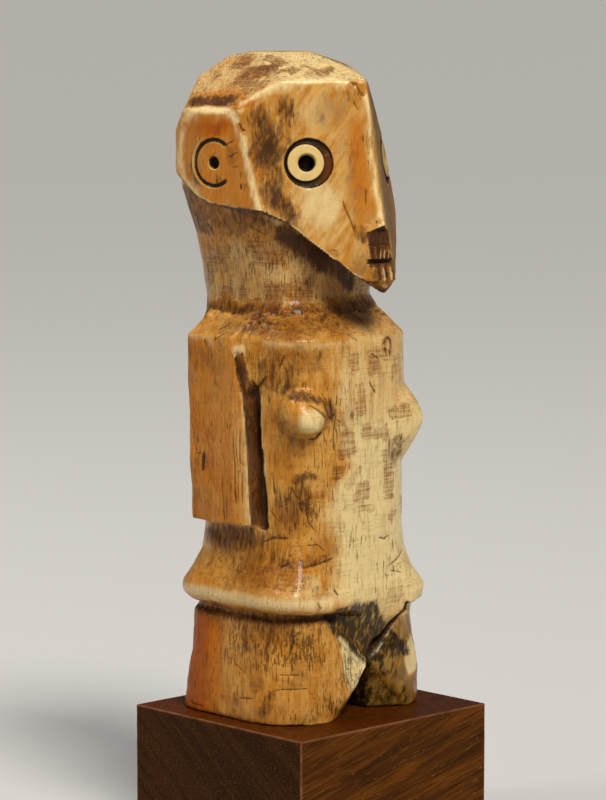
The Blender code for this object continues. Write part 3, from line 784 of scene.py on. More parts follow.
BROWN_STAINS = (
    (0.5, -52, 58, 4.5, 5, 0, 1.4), (0.5, -60, 62, 3, 6, 0, 1.4), (0.45, -46, 77, 6, 4, 0, 1.4),
    (0.6, -52, 45, 4, 6, -14, 1.3), (0.5, -75, 32, 8, 6, 0, 1.4), (0.4, -34, 36, 5, 3, 0, 1.4),
    (0.45, -66, 18.5, 8, 2.4, 0, 1.3), (0.35, -48, 12, 1.6, 6, 0, 1.3), (0.55, -6, 92, 8, 7, 0, 1.3),
    (0.45, -72, 33, 6, 3, 0, 1.4), (0.52, -68, 89.5, 3.2, 3.6, 0, 0.6), (0.52, -44, 89.6, 3.6, 3.2, 0, 0.6),
    (0.45, -73, 98.2, 4.6, 2.4, 0, 0.6), (0.4, -30, 96.5, 2.4, 2.4, 0, 0.6),
    (0.6, -60, 83.5, 16, 3, 0, 1.4), (0.6, -10, 84, 14, 3, 0, 1.4), (0.4, -98, 60, 1.2, 16, 0, 1.6),
    (0.35, -91, 66, 0.9, 12, 0, 1.6), (0.45, -104, 76, 5, 3, 0, 1.6), (0.35, -106, 46, 3, 5, 0, 1.6),
    (0.45, -56, 18, 10, 3.6, 0, 1.6), (0.4, -70, 12, 1.2, 8, 0, 1.6), (0.4, -36, 16, 1.4, 6, 0, 1.6),
    (0.4, -70, 100, 12, 2.6, -8, 1.2), (0.3, -112, 93, 5, 9, 0, 1.2), (0.35, -12, 112, 1.6, 9, 0, 1.4),
    (0.45, -26, 128, 5, 3, 25, 1.5), (0.4, -87, 118.5, 2, 3, 0, 1.3),
)

NECK = (86, 103)
SHIN_PATCH = (43, 10.2, 3, 4.2, 0, 0.5)
# The first of these pale places is a painted highlight on the hip's bump
PALE_AND_HIGHLIGHT_OVALS = (
    (0.65, -44, 28.5, 4, 3.4, 0, 1.4), (1.1, *SHIN_PATCH), (1.1, -7, 10.5, 4, 4.4, -20, 0.7),
    (0.9, -14, 14.5, 1.8, 2.4, -20, 0.8), (0.5, -80, 60, 1.5, 22, 0, 1), (0.5, -76, 48.5, 1.2, 8, 0, 1),
)
PALE_CHEEK_OVALS = ((0.8, -34, 109, 6.4, 6.4, 20, 1.5), (0.6, -36, 127.5, 8, 4.5, 0, 1.4))
WARM_OVALS = (
    (0.9, 46, 3.5, 4, 3, 0, 1), (0.75, -82, 129.6, 4, 1.2, 0, 1.2), (0.5, -104, 131, 8, 2.4, 0, 1.4),
)
WARM_CHEEK_OVALS = ((0.6, -8, 116, 2, 14, 0, 1.3), (0.4, -72, 116, 2, 10, 0, 1.4))
WARM_EAR_OVAL = (-101, 124.4, 5, 2.6, 0, 1.2)
HATCH_OVALS = (
    (0.3, 20, 32, 6, 6, 0, 1.2), (0.3, -12, 37, 5, 3, 0, 1.2), (0.75, -62, 16, 12, 5.5, 0, 1.2),
    (0.8, -12, 9.5, 3.6, 4.5, 0, 0.8), (0.5, -22, 64, 5, 6, 0, 1.4), (0.5, -46, 46, 6, 6, 0, 1.2),
    (0.4, -30, 4, 4, 4, 0, 1), (0.7, -54, 127.5, 1.8, 2.2, 0, 0.8),
)

# Pale edges that the hand has polished, with painted highlights along them: (strength, half width, azimuth,
# height, azimuth, height, ...)
PALE_EDGES_AND_HIGHLIGHTS = (
    (0.9, 0.3, -85, 129.2, -75, 131, -67, 132.9, -54, 133.9, -22, 134.4, -6, 133.4, -1, 131.6),
    (0.85, 0.3, -1, 131.6, 0, 126, 0, 115.7, -1, 107.5, -1, 104.4),
    (0.9, 0.5, -87, 127.4, -82, 124, -78.7, 119.9, -75.2, 114.8, -72.5, 111.3, -69, 107.2),
    (0.9, 0.6, -120, 126.2, -111, 128.1, -93, 127.9, -86, 127),
    (0.7, 0.4, -122, 124, -124, 118, -121, 113.4, -110, 109.6, -99, 107.6),
    (0.8, 0.3, -69, 106.6, -57, 103.6, -40, 101, -28, 97.6, -14, 93.6),
    (0.55, 0.25, -81, 79, -76, 68, -75, 61.5, -73.5, 47, -72.5, 42),
    (0.4, 0.25, -112, 80.3, -98, 80.1, -86, 79.6), (0.3, 0.25, -66, 80, -40, 79.6, -10, 79.6),
    (0.4, 1.4, -112, 26, -92, 26, -70, 26, -45, 25.5, -30, 25),
    (0.8, 0.3, -19, 17, -10, 13.5, 1, 10, -4, 7),
)

# Patches of fine brown weave: (azimuth, height, half width, half height)
WEAVES = (
    (-68, 89.5, 3, 3.6), (-44, 89.6, 3.6, 3.2), (-73, 98.2, 5, 2.8), (-118, 96, 3, 3), (-112, 89, 2.6, 2),
    (-30, 96.5, 2.4, 2.4), (-96, 90, 1.4, 2), (-60, 31, 7, 2.2), (-9, 75.5, 2, 2.4), (10, 75, 2.2, 2.2),
    (-3, 67, 1.6, 3.2), (3, 60.5, 2.2, 2.2), (28, 64, 2.4, 1.2), (-14, 58.5, 2.4, 2.9),
    (-22, 52.8, 1.9, 1.5), (-35, 47.5, 1.7, 1), (-2, 48, 2.3, 2.2), (24, 50, 2.2, 5.5),
)

# The same on the crown: (middle, half size)
CROWN_WEAVES = (
    ((-14.3, 3.2, 135), (3, 3.6, 2.2)), ((-11.2, 9, 137.8), (1.8, 2.6, 1.2)),
    ((-9.3, 1.5, 138.4), (1.4, 2.8, 1.2)), ((-12.6, -1.7, 136.2), (1.3, 1.6, 1.4)),
    ((-9.2, -4, 136.4), (1.6, 1.4, 1.4)), ((-4, -8.4, 136), (2.4, 1.4, 1.6)),
)

# Right edge of the cream front of the body, as azimuths at heights, and how pale the front is at heights
CREAM_HEIGHTS = (16, 22, 27, 34, 40, 46, 50, 54, 61, 69, 77, 82)
CREAM_AZIMUTHS = (-10, -14, -24, -20, -24, -31, -22, -15, -22, -24, -24, -10)
PALE_HEIGHTS = (12, 18, 24, 30, 58, 66, 80, 84)
PALE_STRENGTHS = (0.1, 0.3, 0.9, 1, 0.95, 0.6, 0.5, 0.2)

# Rows of azimuths and heights: the neck just under the jaw's edge, stained and with painted shade from the
# jaw's overhang, and a dark line over the ear
JAW_SHADE = (-58, 102.5, -46, 100, -33, 97.5, -13, 95, 15, 92)
EAR_TOP_SHADE = (-121, 129.5, -107, 130, -93, 130)


def paint_pale(paint):
    """Cream in front and where the knife went last, paler on the head's upward faces with painted top light,
    and a painted highlight on the hip; the rest honey and amber.
    """
    strength = np.interp(paint.height, PALE_HEIGHTS, PALE_STRENGTHS)
    aside = ramp(-14, -30, paint.azimuth) + ramp(50, 75, paint.azimuth)
    return np.maximum.reduce((
        (0.2 + 0.8 * paint.front * strength) * (1 - paint.head) + paint.head * 0.4,
        paint.cheek * np.maximum(*paint.each_oval(PALE_CHEEK_OVALS)),
        # The head's upward faces paler: ivory tone and painted light from above
        0.8 * paint.head * ramp(0.6, 0.85, paint.normals[:, 2]),
        (0.55 + 0.12 * paint.wander_across) * paint.neck(87, 102, 2),
        *paint.each_oval(PALE_AND_HIGHLIGHT_OVALS),
        0.8 * near_height(paint.height, 25.8, 1.8) * aside,
        0.9 * paint.breast_tips(),
    ))


def paint_warm(paint):
    """Amber and rust."""
    leg_side = window(paint.azimuth, -165, -120, -112, -80) * ramp(24, 20, paint.height)
    hip = ramp(40, 26, paint.height) * ramp(-20, -60, paint.azimuth)
    return np.maximum.reduce((
        (0.5 + 0.12 * paint.wander_across) * paint.arm_face * ramp(82, 80, paint.height),
        1.08 * leg_side,
        0.3 * hip,
        paint.ear * 0.55,
        paint.ear * 1.05 * paint.oval(*WARM_EAR_OVAL),
        paint.cheek * np.maximum(*paint.each_oval(WARM_CHEEK_OVALS)),
        *paint.each_oval(WARM_OVALS),
        0.45 * ramp(115, 150, np.abs(paint.azimuth)),
    ))


def paint_mouth(paint):
    """The dark of the mouth, residue with painted shade under the nose, in the slot and between the teeth,
    and the painted highlights on its teeth.
    """
    x, height = paint.x, paint.height
    dark = 0.3 + 0.35 * ramp(99.6, 100.2, height) + 0.8 * near_height(height, 96.9, 0.6)
    # Painted shade under the nose's edge
    dark += 0.5 * ramp(1.2, 0.2, nose_edge(x) - height) * ramp(101, 102, height)
    dark += 0.45 * ramp(-0.8, -2.2, x) + 0.35 * ramp(95, 96, height)
    light = 0
    for row, away, half_pitch, _, high in tooth_rows(x, height):
        # Painted highlights on the middle of each tooth, and residue with painted shade in the gaps
        lit = row * ramp(0.6, 0.95, away / half_pitch)
        dark = np.maximum(dark, 0.95 * row * ramp(0.45, 0.12, away)) * (1 - 0.5 * lit)
        lit = lit * ramp(-2.4, -1.2, x) * ramp(high - 0.4, high - 1.4, height)
        light = np.maximum(light, 0.6 * lit)
    return dark, light


def paint_soil_and_shade(paint, mouth_residue_and_shade):
    """Dark residue in hollows, stains, and painted shade under the jaw, under the head and where the surface
    is enclosed.
    """
    slope = ramp(40, 56, np.degrees(np.arccos(paint.normals[:, 2])))
    neck = ramp(18, 17, paint.radius)
    knot = np.hypot((paint.azimuth - KNOT[0]) * MM_PER_DEGREE, (paint.height - KNOT[1]) * 0.7)
    soil_and_shade = np.maximum.reduce((
        # Residue and painted shade where the surface is enclosed
        1.15 * ramp(0.12, 0.45, shelter(paint.skin)),
        0.7 * ramp(0.04, 0.16, paint.hollow),
        0.75 * paint.band(82.5, 87.5, 1.4) * slope,
        # Stain and painted shade on the neck just under the jaw
        1.15 * neck * paint.stroke(JAW_SHADE, 1.8, 2, 0.6),
        0.85 * paint.groove_wall,
        # Painted shade along the undercut beneath the hip lip
        0.85 * near_height(paint.height, 21.6, 1.1) * beside_apron(paint.azimuth),
        *paint.each_oval(STAINS),
        paint.stroke(EAR_TOP_SHADE, 0.9, 0.8),
        # Painted shade on the head's downward faces
        0.9 * ramp(-0.05, -0.4, paint.normals[:, 2]) * paint.head,
        0.8 * ramp(0.5, 0.2, np.abs(knot - 1.1)),
    ))
    return np.maximum(soil_and_shade * (1 - 0.8 * paint.mouth), paint.mouth * mouth_residue_and_shade)


def paint_brown(paint):
    """Thinner brown stains, and brown over the head's left side."""
    return np.maximum.reduce((
        0.75 * paint.mouth,
        *paint.each_oval(BROWN_STAINS),
        0.45 * paint.crown_weaves(),
        0.6 * paint.groove_wall,
        0.3 * paint.neck(*NECK, 2),
        0.85 * paint.head * window(paint.azimuth, 6, 16, 30, 110),
    ))


def paint_edges(paint, side, half, mouth_highlight):
    """Edges rubbed pale with painted highlights along them, and painted highlights on the teeth, but not the
    edges of the marks and the drilled rings; and the dull places.
    """
    height, azimuth = paint.height, paint.azimuth
    # Convex edges paler from wear and painted highlight, most on the head's right side
    rubbed_and_highlit = 0.35 + 0.25 * paint.head * ramp(30, 0, azimuth) - 0.25 * paint.legs
    rubbed_and_highlit *= 1 - 0.9 * ramp(22, 22.6, np.abs(paint.x)) * ramp(82, 81, height)
    rubbed_and_highlit *= 1 - near_height(height, NECK_ROOT, 3)
    rubbed_and_highlit *= ramp(0.04, 0.14, -paint.hollow) * (1 - paint.mouth)
    outer = np.where(height > JAW_BOTTOM, paint.head, 1)
    edges = [strength * paint.stroke(places, width) * outer for strength, width, *places in PALE_EDGES_AND_HIGHLIGHTS]
    worn_and_highlight = np.maximum.reduce((rubbed_and_highlit, paint.mouth * mouth_highlight, *edges))
    worn_and_highlight *= 1 - (half > 0.05) * ramp(1, 0.4, np.abs(side) - half)
    dull = 0.85 * paint.head * window(azimuth, 1.5, 7, 60, 100)
    dull = np.maximum(dull, 0.7 * paint.legs * ramp(-80, -110, azimuth))
    for ring in (*rings_of(RIGHT), *rings_of(LEFT)):
        back, up, above = ring.flat_places(paint.skin.points)
        distance = np.hypot(back, up) + FAR * (np.abs(above) > RING_REACH)
        worn_and_highlight *= ramp(RING_RADIUS - 0.2, RING_RADIUS + 1, distance)
        drilled = np.hypot(back - PUPIL_SHIFT, up) + FAR * (np.abs(above) > PUPIL_DEPTH + 0.5)
        dull = np.maximum(dull, ramp(PUPIL_RADIUS + 0.1, PUPIL_RADIUS - 0.3, drilled))
    return worn_and_highlight, dull


def paint_hatch(paint):
    """How many short dark dashes show: few where the ivory is polished."""
    hatch = 0.3 - 0.27 * paint.cheek - 0.22 * paint.ear - 0.3 * paint.mouth + 0.15 * paint.crown
    hatch += 0.06 * paint.arm_face - 0.16 * paint.front * (1 - paint.head)
    hatch += 0.15 * paint.band(80, 84, 0.6) + 0.2 * paint.neck(87, 103, 1)
    return (hatch + sum(paint.each_oval(HATCH_OVALS))) * (1 - paint.breast_tips())


def paint_weave(paint):
    """Where the fine brown weave shows."""
    weave = 0.02 + 0.2 * paint.neck(*NECK, 1.5) + 0.2 * paint.crown
    weave += 0.1 * paint.front * ramp(34, 40, paint.height)
    weave = np.maximum(weave, 0.4 * paint.oval(-66, 79, 6, 3, 0, 1))
    weave *= np.clip(1 - paint.cheek - paint.ear - paint.jaw, 0, 1)
    return np.maximum.reduce((weave, *(paint.oblong(*place) for place in WEAVES), paint.crown_weaves()))


def paint_soot_shadow_and_olive(paint):
    """Soot and painted shadow between the legs and around; olive-grey there and on the left cheek."""
    x, y, height = paint.x, paint.y, paint.height
    cream = (x - 3 + height - 24) * 0.7 + 0.8 * paint.wander_up
    apron = ramp(0.8, -0.8, cream) * ramp(25, 23.5, height + 0.6 * paint.wander_up)
    apron *= ramp(10, 11.5, height) * ramp(-11, -8.5, x) * ramp(-12.5, -13.5, y)
    apron *= ramp(-2.3, -1.7, groin_places(paint.skin, RIGHT_GROIN_ALONG)[0])
    # Painted shadow in the recess behind the apron's front
    groin_shadow = ramp(-13.9, -12.9, y) * (y < -9) * (np.abs(x) < 14) * (height < 23.5) * (height > 8)
    # Painted shade, with soot, on the left leg's inner side
    inner = window(height, 5, 8, 15, 18) * paint.turn_band(4, 28, 5) * ramp(1, 2, x)
    # Painted shadow on the inner faces of the leg gap
    shadow_between_legs = (np.abs(x) < 9) * ramp(13, 12, height)
    shadow_between_legs = shadow_between_legs * ramp(0.4, 0.7, np.abs(paint.normals[:, 0]))
    # Darker low on the feet
    foot = paint.band(0, 4.5, 0.8) * paint.turn_band(-44, 40, 5)
    soot_and_shadow = np.maximum.reduce((0.95 * apron, 1.1 * groin_shadow, 0.6 * inner, 0.9 * shadow_between_legs, 0.5 * foot))
    leg = paint.band(-1, 19.5, 0.8) * ramp(2, 3, x) * ramp(80, 55, paint.azimuth)
    leg *= 1 - 0.95 * paint.oval(*SHIN_PATCH)
    cheek = paint.head * ramp(1.5, 7, paint.azimuth)
    cheek *= ramp(48, 16, paint.azimuth + 4 * paint.wander_up)
    return soot_and_shadow, np.maximum.reduce((0.9 * cheek, 0.9 * leg, 0.8 * apron))


def patina(skin):
    """Store on each point how much of every layer of colour it has."""
    paint = Painter(skin)
    side, half = measure_marks(skin)
    mouth_residue_and_shade, mouth_highlight = paint_mouth(paint)
    worn_and_highlight, dull = paint_edges(paint, side, half, mouth_highlight)
    soot_and_shadow, olive = paint_soot_shadow_and_olive(paint)
    grain = 0.75 - 0.55 * paint.cheek - 0.45 * paint.ear - 0.25 * paint.arm_face
    grain += 0.1 * paint.crown + 0.1 * paint.neck(*NECK, 2)
    layers = {
        "pale": np.clip(paint_pale(paint), 0, 1),
        "warm": paint_warm(paint),
        "soil_and_shade": np.clip(paint_soil_and_shade(paint, mouth_residue_and_shade), 0, 1.2),
        "brown": np.clip(paint_brown(paint), 0, 1),
        "mark_side": side,
        "mark_half": half,
        "worn_and_highlight": worn_and_highlight,
        "dull": dull,
        "grain": np.clip(grain, 0, 1),
        "hatch": np.clip(paint_hatch(paint), 0, 1),
        "weave": np.clip(paint_weave(paint), 0, 1),
        "soot_and_shadow": np.clip(soot_and_shadow, 0, 1.1),
        "olive": olive,
    }
    for name, values in layers.items():
        keep_values(skin.mesh, name, values)


# Materials ----------------------------------------


def linear(red, green, blue):
    """A colour given as screen values from 0 to 255."""
    parts = []
    for value in (red, green, blue):
        part = value / 255
        parts.append(part / 12.92 if part <= 0.04045 else ((part + 0.055) / 1.055) ** 2.4)
    return (*parts, 1)


class Value:
    """A number, vector or colour that the nodes of a finish work out."""

    def __init__(self, finish, socket):
        self.finish = finish
        self.socket = socket

    def __add__(self, other):
        return self.finish.math("ADD", self, other)

    def __sub__(self, other):
        return self.finish.math("SUBTRACT", self, other)

    def __rsub__(self, other):
        return self.finish.math("SUBTRACT", other, self)

    def __mul__(self, other):
        return self.finish.math("MULTIPLY", self, other)

    def __abs__(self):
        return self.finish.math("ABSOLUTE", self)

    def step(self, low, high, to_low=0, to_high=1):
        """A soft step from to_low to to_high as the value goes from low to high."""
        values = (self, low, high, to_low, to_high)
        return self.finish.result("MapRange", values, interpolation_type="SMOOTHSTEP")

    def swing(self, size):
        """A noise value as a swing of plus and minus half of size about nothing."""
        return self * size - 0.5 * size


class Finish:
    """A material, with short ways to add its nodes, and the colour that its layers have made so far."""

    def __init__(self, name):
        self.material = bpy.data.materials.new(name)
        self.material.use_nodes = True
        self.tree = self.material.node_tree
        self.shader = self.tree.nodes["Principled BSDF"]
        where = Value(self, self.node("TexCoord").outputs["Object"])
        self.place = self.vector("MULTIPLY", where, (1 / MM,) * 3)
        self.ground = None

    def node(self, kind, **settings):
        made = self.tree.nodes.new("ShaderNode" + kind)
        for key, value in settings.items():
            setattr(made, key, value)
        return made

    def plug(self, node, values):
        """Link or set a node's sockets, by name or by number."""
        for socket, value in values.items():
            if isinstance(value, Value):
                self.tree.links.new(value.socket, node.inputs[socket])
            else:
                node.inputs[socket].default_value = value

    def result(self, kind, values, output=0, **settings):
        """One output of a new node whose first sockets hold the values."""
        made = self.node(kind, **settings)
        self.plug(made, dict(enumerate(values)))
        return Value(self, made.outputs[output])

    def math(self, operation, *values):
        return self.result("Math", values, operation=operation)

    def vector(self, operation, *values):
        output = "Value" if operation == "DOT_PRODUCT" else "Vector"
        return self.result("VectorMath", values, output, operation=operation)

    def mix(self, amount, first, second):
        made = self.node("Mix", data_type="RGBA")
        self.plug(made, {0: amount, 6: first, 7: second})
        return Value(self, made.outputs[2])

    def cover(self, amount, colour):
        """Lay a colour over the ground."""
        self.ground = self.mix(amount, self.ground, colour)

    def kept(self, *names):
        return [Value(self, self.node("Attribute", attribute_name=name).outputs["Fac"]) for name in names]

    def facing(self, axis):
        """How far the surface faces along an axis, from -1 to 1."""
        normal = Value(self, self.node("NewGeometry").outputs["True Normal"])
        return self.result("SeparateXYZ", (normal,), axis)

    def turned(self, axis, angle):
        """The place, turned round an axis."""
        values = (self.place, (0, 0, 0), tuple(axis), math.radians(angle))
        return self.result("VectorRotate", values, rotation_type="AXIS_ANGLE")

    def noise(self, size, stretch=(1, 1, 1), detail=2, roughness=0.5, shift=0, place=None):
        """Noise of about 0 to 1 with lumps of the given size, drawn out by stretch."""
        scaled = self.vector("MULTIPLY", place or self.place, tuple(1 / (size * part) for part in stretch))
        moved = self.vector("ADD", scaled, (shift, shift * 0.7, shift * 1.3))
        made = self.node("TexNoise")
        self.plug(made, {"Vector": moved, "Scale": 1, "Detail": detail, "Roughness": roughness})
        return Value(self, made.outputs["Fac"])

    def slanting(self, axis, angle, size, run, shift):
        """Noise drawn out along a direction that leans from the upright by an angle about an axis."""
        return self.noise(size, (1, 1, run), 1, shift=shift, place=self.turned(axis, angle))

    def cells(self, size, stretch):
        """A random value for each of many boxy cells."""
        scaled = self.vector("MULTIPLY", self.place, tuple(1 / (size * part) for part in stretch))
        made = self.node("TexVoronoi", distance="CHEBYCHEV")
        self.plug(made, {"Vector": scaled, "Scale": 1})
        return self.result("SeparateColor", (Value(self, made.outputs["Color"]),))

    def complete(self, roughness, settings, height, strength, distance):
        """Finish the shader: its roughness, its plain settings, and relief too fine for the mesh."""
        bump = self.node("Bump")
        self.plug(bump, {"Strength": strength, "Distance": distance * MM, "Height": height})
        inputs = {"Base Color": self.ground, "Roughness": roughness, "Normal": Value(self, bump.outputs[0])}
        self.plug(self.shader, {**inputs, **settings})
        return self.material


CREAM = linear(226, 200, 140)
GOLD = linear(206, 152, 74)
HONEY = linear(184, 120, 40)
AMBER = linear(186, 104, 12)
RUST = linear(160, 70, 2)
BROWN = linear(106, 58, 14)
WEAVE_BROWN = linear(122, 62, 8)
PLUM = linear(80, 46, 30)
UMBER = linear(46, 24, 6)
SOOT_AND_SHADOW = linear(20, 13, 6)
OLIVE = linear(104, 80, 30)
RIM_AND_HIGHLIGHT = linear(244, 218, 160)
RING_INK = linear(18, 13, 10)
PUPIL_INK = linear(6, 4, 3)
RING_BROWN = linear(84, 38, 16)
EYE_CREAM = linear(228, 202, 134)

# Width of the fine growth lines, and how long they run
LINE_WIDTH = 0.34
LINE_RUN = 16


def woven(made):
    """Fine straight lines round and up the tusk, and across the crown, from 0 to 1."""
    crown = made.facing(2).step(0.5, 0.7)
    lines = []
    for side_run, crown_run, shift in (
        ((1, 1, LINE_RUN), (LINE_RUN, 1, LINE_RUN), 5),
        ((LINE_RUN, LINE_RUN, 1), (1, LINE_RUN, LINE_RUN), 12),
    ):
        on_side = made.noise(LINE_WIDTH, side_run, 0, shift=shift)
        on_crown = made.noise(LINE_WIDTH, crown_run, 0, shift=shift)
        lines.append((on_side * (1 - crown) + on_crown * crown).step(0.42, 0.62))
    return lines[0] * 0.45 + lines[1] * 0.55


def ring_places(made, place, ring):
    """Where the surface lies on a ring's flat, backward and up from its middle, and how far above it."""
    offset = made.vector("SUBTRACT", place, tuple(ring.middle))
    axes = (ring.tangent, ring.upward, ring.normal)
    return [made.vector("DOT_PRODUCT", offset, tuple(axis)) for axis in axes]


def paint_eye(made, place, ring):
    """Dark residue in the drilled ring and pupil, and the pale disc between them."""
    back, up, above = ring_places(made, place, ring)
    near = abs(above).step(RING_REACH + 0.4, RING_REACH)
    deep = abs(above).step(PUPIL_DEPTH + 1, PUPIL_DEPTH + 0.6)

    def distance(shift):
        moved = back - shift
        return made.math("SQRT", moved * moved + up * up)

    ragged = made.noise(0.7, detail=3, shift=91, place=place).swing(0.28)
    outer = distance(0) + ragged
    inner = distance(DISC_SHIFT) + ragged * 0.4
    pupil = distance(PUPIL_SHIFT)
    disc = inner.step(DISC_RADIUS + 0.02, DISC_RADIUS - 0.22) * near
    moat = outer.step(RING_RADIUS + 0.1, RING_RADIUS - 0.1) * near * (1 - disc)
    ink = made.mix(back.step(-1.5, -4.2), RING_INK, RING_BROWN)
    ink = made.mix(outer.step(RING_RADIUS - 0.55, RING_RADIUS - 0.2, 0, 0.85), ink, RING_INK)
    hole = pupil.step(PUPIL_RADIUS + 0.12, PUPIL_RADIUS - 0.12) * deep
    made.cover(disc * (0.72 if ring.side == RIGHT else 0.4), EYE_CREAM)
    made.cover(moat * 0.94, ink)
    made.cover(hole, made.mix(pupil.step(0.9, 0.3, 0, 0.25), PUPIL_INK, RING_BROWN))


def paint_ear(made, place, ring):
    """Dark residue in the open ring and the dot of an ear."""
    back, up, above = ring_places(made, place, ring)
    near = abs(above).step(RING_REACH + 0.4, RING_REACH)
    outer = made.math("SQRT", back * back + up * up)
    ragged = made.noise(0.8, detail=3, shift=95, place=place).swing(0.3)
    line = (abs(outer - EAR_LINE_RADIUS) + ragged).step(0.5, 0.3)
    facing = abs(made.math("ARCTAN2", up, back * -1))
    closed = facing.step(math.radians(42), math.radians(56))
    made.cover(line * closed * near * 0.9, RING_INK)
    made.cover(outer.step(EAR_DOT_RADIUS + 0.15, EAR_DOT_RADIUS - 0.15) * near * 0.95, RING_INK)


def ivory():
    made = Finish("carved_ivory")
    pale, warm, soil_and_shade, brown, soot_and_shadow, olive = made.kept("pale", "warm", "soil_and_shade", "brown", "soot_and_shadow", "olive")
    worn_and_highlight, dull, grain, hatch, weave = made.kept("worn_and_highlight", "dull", "grain", "hatch", "weave")
    side, half = made.kept("mark_side", "mark_half")
    cloud = made.noise(6, detail=4, shift=3)
    upright = made.noise(1.2, (1, 1, 9), 4, 0.6, 41)
    fibre = made.noise(0.45, (1, 1, 12), 2, 0.6, 9)
    cross = made.noise(0.4, (12, 12, 1), 2, 0.6, 21)
    mottle = made.noise(1.5, (1, 1, 1.8), 5, 0.7, 33)
    grit = made.noise(0.9, (1, 1, 2.2), 5, 0.7, 71)
    # Streaks run up the figure, but slant on the polished flats
    smear = made.slanting(direction(-40), 34, 1.4, 5, 131)
    streak = (smear - upright) * grain.step(0.5, 0.2) + upright
    # Ground: honey and gold, amber and rust in places, cream in front
    drift = cloud * 0.5 + streak * 0.5
    made.ground = made.mix(drift.step(0.4, 0.6), HONEY, GOLD)
    pale_part = pale + mottle.swing(0.6) + streak.swing(1) * (grain * 0.5 + 0.25)
    made.cover(pale_part.step(0.25, 1), CREAM)
    warm_part = warm + drift.swing(0.6) + fibre.swing(0.3)
    made.cover(warm_part.step(0.15, 0.75, 0, 0.9), AMBER)
    made.cover(warm_part.step(0.7, 1.2, 0, 0.9), RUST)
    # Thin brown stains, mottling and growth lines, strong where the surface is scratched
    stained = brown + mottle.swing(1) + streak.swing(0.8)
    made.cover(stained.step(0.1, 0.8, 0, 0.8), BROWN)
    lines = fibre.step(0.5, 0.7, 0, 0.4) + cross.step(0.54, 0.72, 0, 0.3)
    made.cover((lines + mottle.step(0.52, 0.72, 0, 0.5)) * grain, BROWN)
    made.cover(olive * mottle.step(0.36, 0.6, 0.55, 1), OLIVE)
    # Woven brown patches
    frayed = weave - made.cells(4.4, (1, 1, 0.8)) + fibre.swing(0.16) + cross.swing(0.16)
    net = (woven(made) * 0.58 + 0.2) * mottle.step(0.3, 0.55, 0.6, 1)
    made.cover(net * frayed.step(-0.12, 0.1), WEAVE_BROWN)
    # Short dark dashes up the grain and slanting across it
    more = hatch * 0.2 + made.noise(4, detail=3, shift=77) * 0.3 - 0.2
    dash = made.noise(0.38, (1, 1, 8), 1, shift=57) + more
    right_lean = made.slanting(direction(-35), 48, 0.34, 6, 101) + more
    left_lean = made.slanting(direction(-35), -52, 0.34, 6, 111) + more
    leaning = made.math("MAXIMUM", right_lean, left_lean).step(0.78, 0.86)
    dashes = made.math("MAXIMUM", dash.step(0.66, 0.74), leaning) * hatch.step(0, 0.3)
    made.cover(dashes * 0.65, UMBER)
    # Residue, stains and painted shade
    ragged = grit.swing(1.8) + fibre.swing(0.9) + streak.swing(0.9)
    soil_and_shade_part = soil_and_shade + ragged * soil_and_shade.step(0, 0.3)
    made.cover(soil_and_shade_part.step(0.05, 0.6, 0, 0.65), BROWN)
    made.cover(soil_and_shade_part.step(0.4, 1.05, 0, 0.88), made.mix(cloud.step(0.35, 0.65), UMBER, PLUM))
    # Soot and painted shadow in slanting strokes
    ragged = made.slanting(direction(-20), 20, 0.7, 3.4, 83).swing(1.6) + mottle.swing(1.6)
    made.cover((soot_and_shadow + ragged * soot_and_shadow.step(0, 0.25)).step(0.3, 1.1, 0, 0.88), SOOT_AND_SHADOW)
    # Cuts drawn by hand
    inside = (half + grit.swing(0.5) - abs(side)).step(-0.1, 0.14) * half.step(0.02, 0.12)
    made.cover(inside * 0.62, UMBER)
    # Rims rubbed pale, with painted highlights along the edges and on the teeth
    made.cover(worn_and_highlight * soil_and_shade.step(0.9, 0.4) * grit.step(0.3, 0.55, 0.35, 0.95), RIM_AND_HIGHLIGHT)
    figure_place = made.vector("SUBTRACT", made.place, tuple(SOLES))
    for figure_side in (RIGHT, LEFT):
        eye, ear = rings_of(figure_side)
        paint_eye(made, figure_place, eye)
        paint_ear(made, figure_place, ear)
    rough = soil_and_shade_part.step(0.2, 0.9, 0.26, 0.5) + mottle.swing(0.2) - worn_and_highlight * 0.1 + dull * 0.45
    settings = {
        "Specular IOR Level": 0.16,
        "Specular Tint": (1, 0.8, 0.5, 1),
        "Coat Weight": 0.12,
        "Coat Roughness": 0.08,
        "Subsurface Weight": 0.08,
        "Subsurface Radius": (1, 0.5, 0.2),
        "Subsurface Scale": 1 * MM,
    }
    relief = (fibre * 0.35 + mottle * 0.8) * (grain * 0.8 + 0.25)
    relief = relief - inside * 0.6 - dashes * 0.4 + soil_and_shade * grit * 1.2
    return made.complete(rough, settings, relief, strength=0.8, distance=0.22)


WOOD_DARK = linear(44, 22, 5)
WOOD_BROWN = linear(114, 62, 10)
WOOD_RED = linear(80, 32, 2)
WOOD_PORE = linear(170, 110, 50)
WOOD_END = linear(64, 34, 8)
WOOD_EDGE = linear(130, 84, 56)
GRAIN_RISE = 14
END_RING_LEAN = 52


